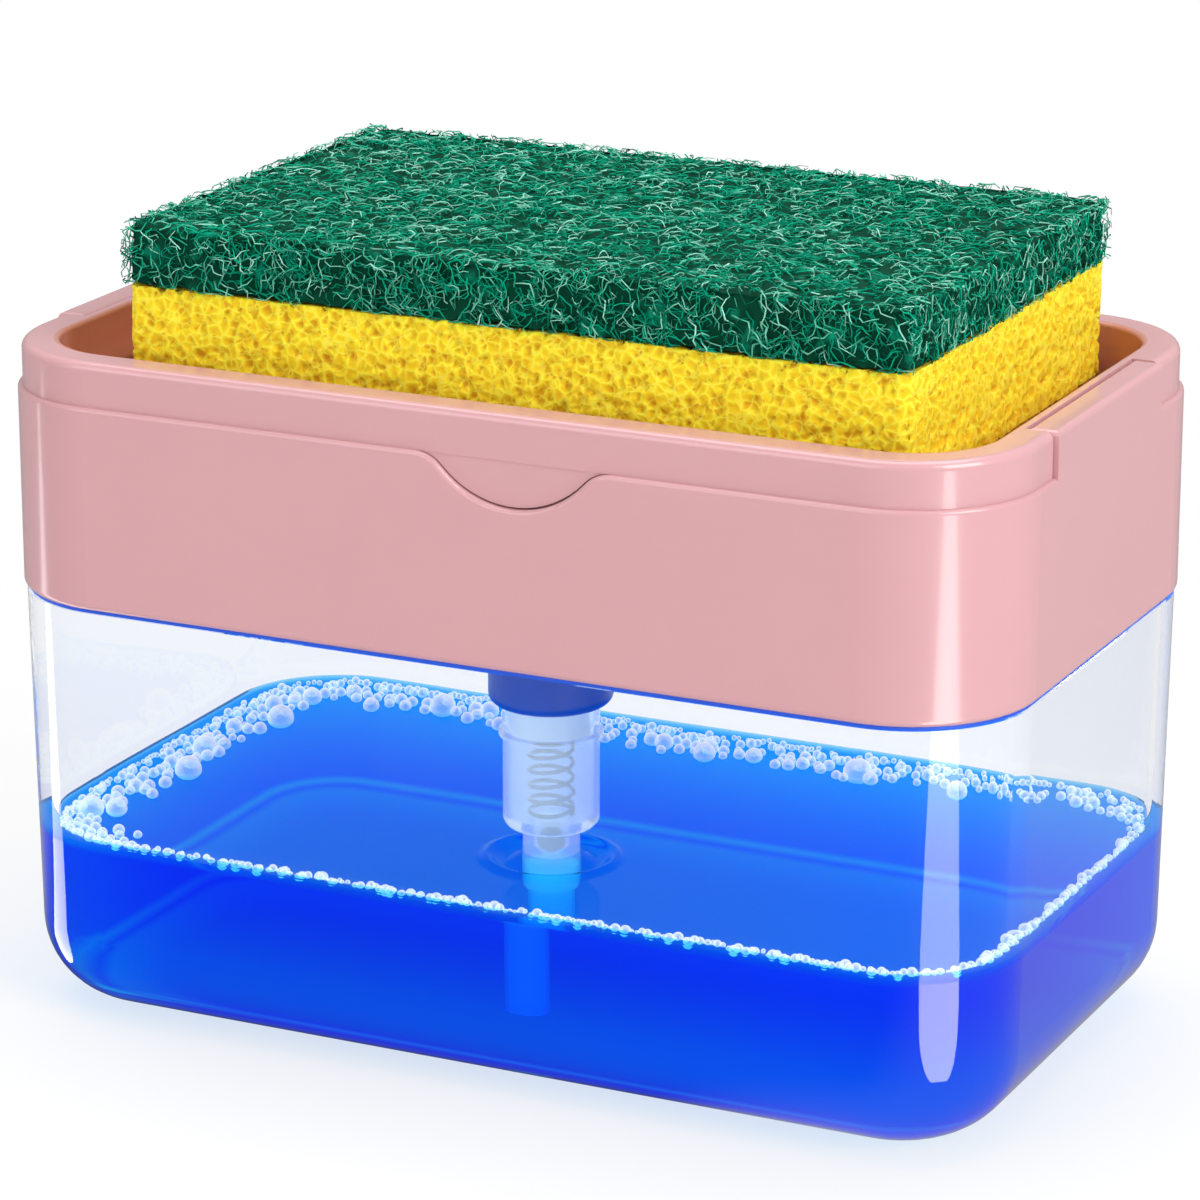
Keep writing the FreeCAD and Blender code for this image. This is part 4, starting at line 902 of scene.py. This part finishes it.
class CADDY_OT_stage(bpy.types.Operator):
    """Sets the white floor, the soft lamps and the photograph's camera"""

    bl_idname = "object.caddy_stage"
    bl_label = "Stage"

    def execute(self, context):
        stage = context.scene.caddy_stage
        scene = context.scene
        scene.view_settings.view_transform = "Standard"
        scene.cycles.max_bounces = 32
        scene.cycles.transmission_bounces = 32
        scene.cycles.glossy_bounces = 16
        scene.cycles.transparent_max_bounces = 32
        target = Vector((0, 0, stage.target))
        flat = math.cos(stage.elevation)
        right, ahead = math.sin(stage.azimuth) * flat, math.cos(stage.azimuth) * flat
        away = Vector((right, -ahead, math.sin(stage.elevation)))
        camera = bpy.data.objects.new("camera", bpy.data.cameras.new("camera"))
        camera.data.lens = stage.lens
        camera.data.sensor_width = 36
        camera.data.clip_end = 20
        camera.location = target + away * stage.distance
        camera.rotation_euler = (-away).to_track_quat("-Z", "Y").to_euler()
        scene.collection.objects.link(camera)
        scene.camera = camera
        # name, place and size in metres, power
        lamps = (
            ("key", (0.85, -0.3, 0.7), (0.6, 0.6), stage.key),
            ("front", (-0.45, -1.0, 0.55), (0.9, 0.6), stage.fill),
            ("overhead", (-0.1, 0.15, 1.0), (0.9, 0.7), stage.top),
        )
        for name, place, size, power in lamps:
            lamp = self.lamp(scene, name, place, size, power)
            lamp.rotation_euler = (target - Vector(place)).to_track_quat("-Z", "Y").to_euler()
        # strips on the floor off the two near corners, only for the upright streaks of gloss there:
        # name, place and size in metres, turn in degrees, power
        strips = (
            ("strip_right", (0.235, -0.155, 0.001), (0.36, 0.075), -35, stage.strip),
            ("strip_left", (-0.25, -0.06, 0.001), (0.36, 0.03), 7, stage.strip_left),
        )
        for name, place, size, turn, power in strips:
            strip = self.lamp(scene, name, place, size, power)
            strip.rotation_euler = (math.pi, 0, math.radians(turn))
            strip.data.shape = "ELLIPSE"
            strip.visible_diffuse = False
            strip.visible_camera = False
            strip.visible_transmission = False
        mesh = bpy.data.meshes.new("floor")
        far = FLOOR_HALF
        mesh.from_pydata([(-far, -far, 0), (far, -far, 0), (far, far, 0), (-far, far, 0)], [], [(0, 1, 2, 3)])
        mesh.materials.append(self.paper(stage))
        floor = bpy.data.objects.new("floor", mesh)
        floor.location.z = -FLOOR_DROP
        scene.collection.objects.link(floor)
        self.surroundings(scene, stage)
        return {"FINISHED"}

    def lamp(self, scene, name, place, size, power):
        """An area lamp, still to be turned."""
        lamp = bpy.data.objects.new(name, bpy.data.lights.new(name, "AREA"))
        lamp.data.shape = "RECTANGLE"
        lamp.data.size, lamp.data.size_y = size
        lamp.data.energy = power
        lamp.location = place
        scene.collection.objects.link(lamp)
        return lamp

    def seen(self, tree):
        """The kinds of ray, and 1 for what is looked at or seen through something clear."""
        path = add(tree, "LightPath").outputs
        return path, add(tree, "Math", {0: path["Is Camera Ray"], 1: path["Is Transmission Ray"]},
                         operation="MAXIMUM")

    def beside(self, tree, place, stage):
        """How bright gloss shows the studio: dark ahead of the caddy, brighter at its sides and behind it."""
        split = add(tree, "SeparateXYZ", {0: place})
        front = add(tree, "Math", {0: split.outputs["Y"], 1: -1.0}, operation="MULTIPLY")
        turn = add(tree, "Math", {0: split.outputs["X"], 1: front}, operation="ARCTAN2")
        turn = add(tree, "Math", {0: turn, 1: math.radians(AHEAD)}, operation="ADD")
        turn = add(tree, "Math", {0: turn}, operation="ABSOLUTE")
        return add(tree, "MapRange", {
            "Value": turn, "From Min": math.radians(DARK_TO), "From Max": math.radians(BRIGHT_FROM),
            "To Min": stage.mirrored, "To Max": SIDE_GLOSS}, interpolation_type="SMOOTHSTEP")

    def paper(self, stage):
        """White paper: bright to the eye, keeps the soft shadow under the tank, and is darker in gloss."""
        material, tree, place = new_material("white_paper")
        _, bump = relief_of(tree, place, size=1.0, detail=2.0, strength=0.05, depth=0.05)
        surface = add(tree, "BsdfPrincipled", {
            "Base Color": opaque(stage.white, PAPER_WHITE), "Roughness": 0.7, "Normal": bump})
        away = add(tree, "VectorMath", {0: place}, operation="LENGTH")
        fade = add(tree, "MapRange", {
            "Value": away.outputs["Value"], "From Min": SHADOW_NEAR, "From Max": SHADOW_FAR,
            "To Min": SHADOW_GLOW}, interpolation_type="SMOOTHSTEP")
        path, seen = self.seen(tree)
        share = add(tree, "Math", {0: fade, 1: seen}, operation="MULTIPLY")
        glow = add(tree, "Emission", {"Color": opaque(stage.white), "Strength": 1.0})
        surface = add(tree, "MixShader", {0: share, 1: surface, 2: glow})
        dark = add(tree, "Emission", {
            "Color": opaque(stage.white), "Strength": self.beside(tree, place, stage)})
        # a refracted ray counts as glossy too, so it is taken off again
        mirror = add(tree, "Math", {0: path["Is Glossy Ray"], 1: path["Is Transmission Ray"]},
                     operation="SUBTRACT", use_clamp=True)
        surface = add(tree, "MixShader", {0: mirror, 1: surface, 2: dark})
        add(tree, "OutputMaterial", {"Surface": surface})
        return material

    def surroundings(self, scene, stage):
        """Even light from all round, white to the eye and through clear things, darker in gloss."""
        world = bpy.data.worlds.new("white_studio")
        world.use_nodes = True
        tree = world.node_tree
        tree.nodes.clear()
        path, seen = self.seen(tree)
        dim = add(tree, "Background", {"Color": opaque(stage.white), "Strength": stage.sky})
        ahead = self.beside(tree, add(tree, "TexCoord").outputs["Generated"], stage)
        dark = add(tree, "Background", {"Color": opaque(stage.white), "Strength": ahead})
        bright = add(tree, "Background", {"Color": opaque(stage.white), "Strength": 1.0})
        mix = add(tree, "MixShader", {0: path["Is Glossy Ray"], 1: dim, 2: dark})
        mix = add(tree, "MixShader", {0: seen, 1: mix, 2: bright})
        add(tree, "OutputWorld", {"Surface": mix})
        scene.world = world


class CADDY_PT_panel(bpy.types.Panel):
    """Lists the steps that dress the caddy"""

    bl_idname = "CADDY_PT_panel"
    bl_label = "Caddy"
    bl_space_type = "VIEW_3D"
    bl_region_type = "UI"
    bl_category = "Caddy"

    def draw(self, context):
        for operator in OPERATORS:
            self.layout.operator(operator.bl_idname)


OPERATORS = (CADDY_OT_plastics, CADDY_OT_soap, CADDY_OT_foam, CADDY_OT_spring, CADDY_OT_sponge,
             CADDY_OT_scourer, CADDY_OT_stage)
GROUPS = {"caddy_plastics": CaddyPlastics, "caddy_soap": CaddySoap, "caddy_spring": CaddySpring,
          "caddy_sponge": CaddySponge, "caddy_stage": CaddyStage}


def register():
    for group in (*GROUPS.values(), *OPERATORS, CADDY_PT_panel):
        bpy.utils.register_class(group)
    for name, group in GROUPS.items():
        setattr(bpy.types.Scene, name, PointerProperty(type=group))


def unregister():
    for name in GROUPS:
        delattr(bpy.types.Scene, name)
    for group in (CADDY_PT_panel, *reversed(OPERATORS), *reversed(GROUPS.values())):
        bpy.utils.unregister_class(group)


def main():
    register()
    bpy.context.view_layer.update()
    bpy.ops.object.caddy_plastics()
    bpy.ops.object.caddy_soap()
    bpy.ops.object.caddy_foam()
    bpy.ops.object.caddy_spring()
    bpy.ops.object.caddy_sponge()
    bpy.ops.object.caddy_scourer()
    bpy.ops.object.caddy_stage()


if __name__ == "__main__":
    main()
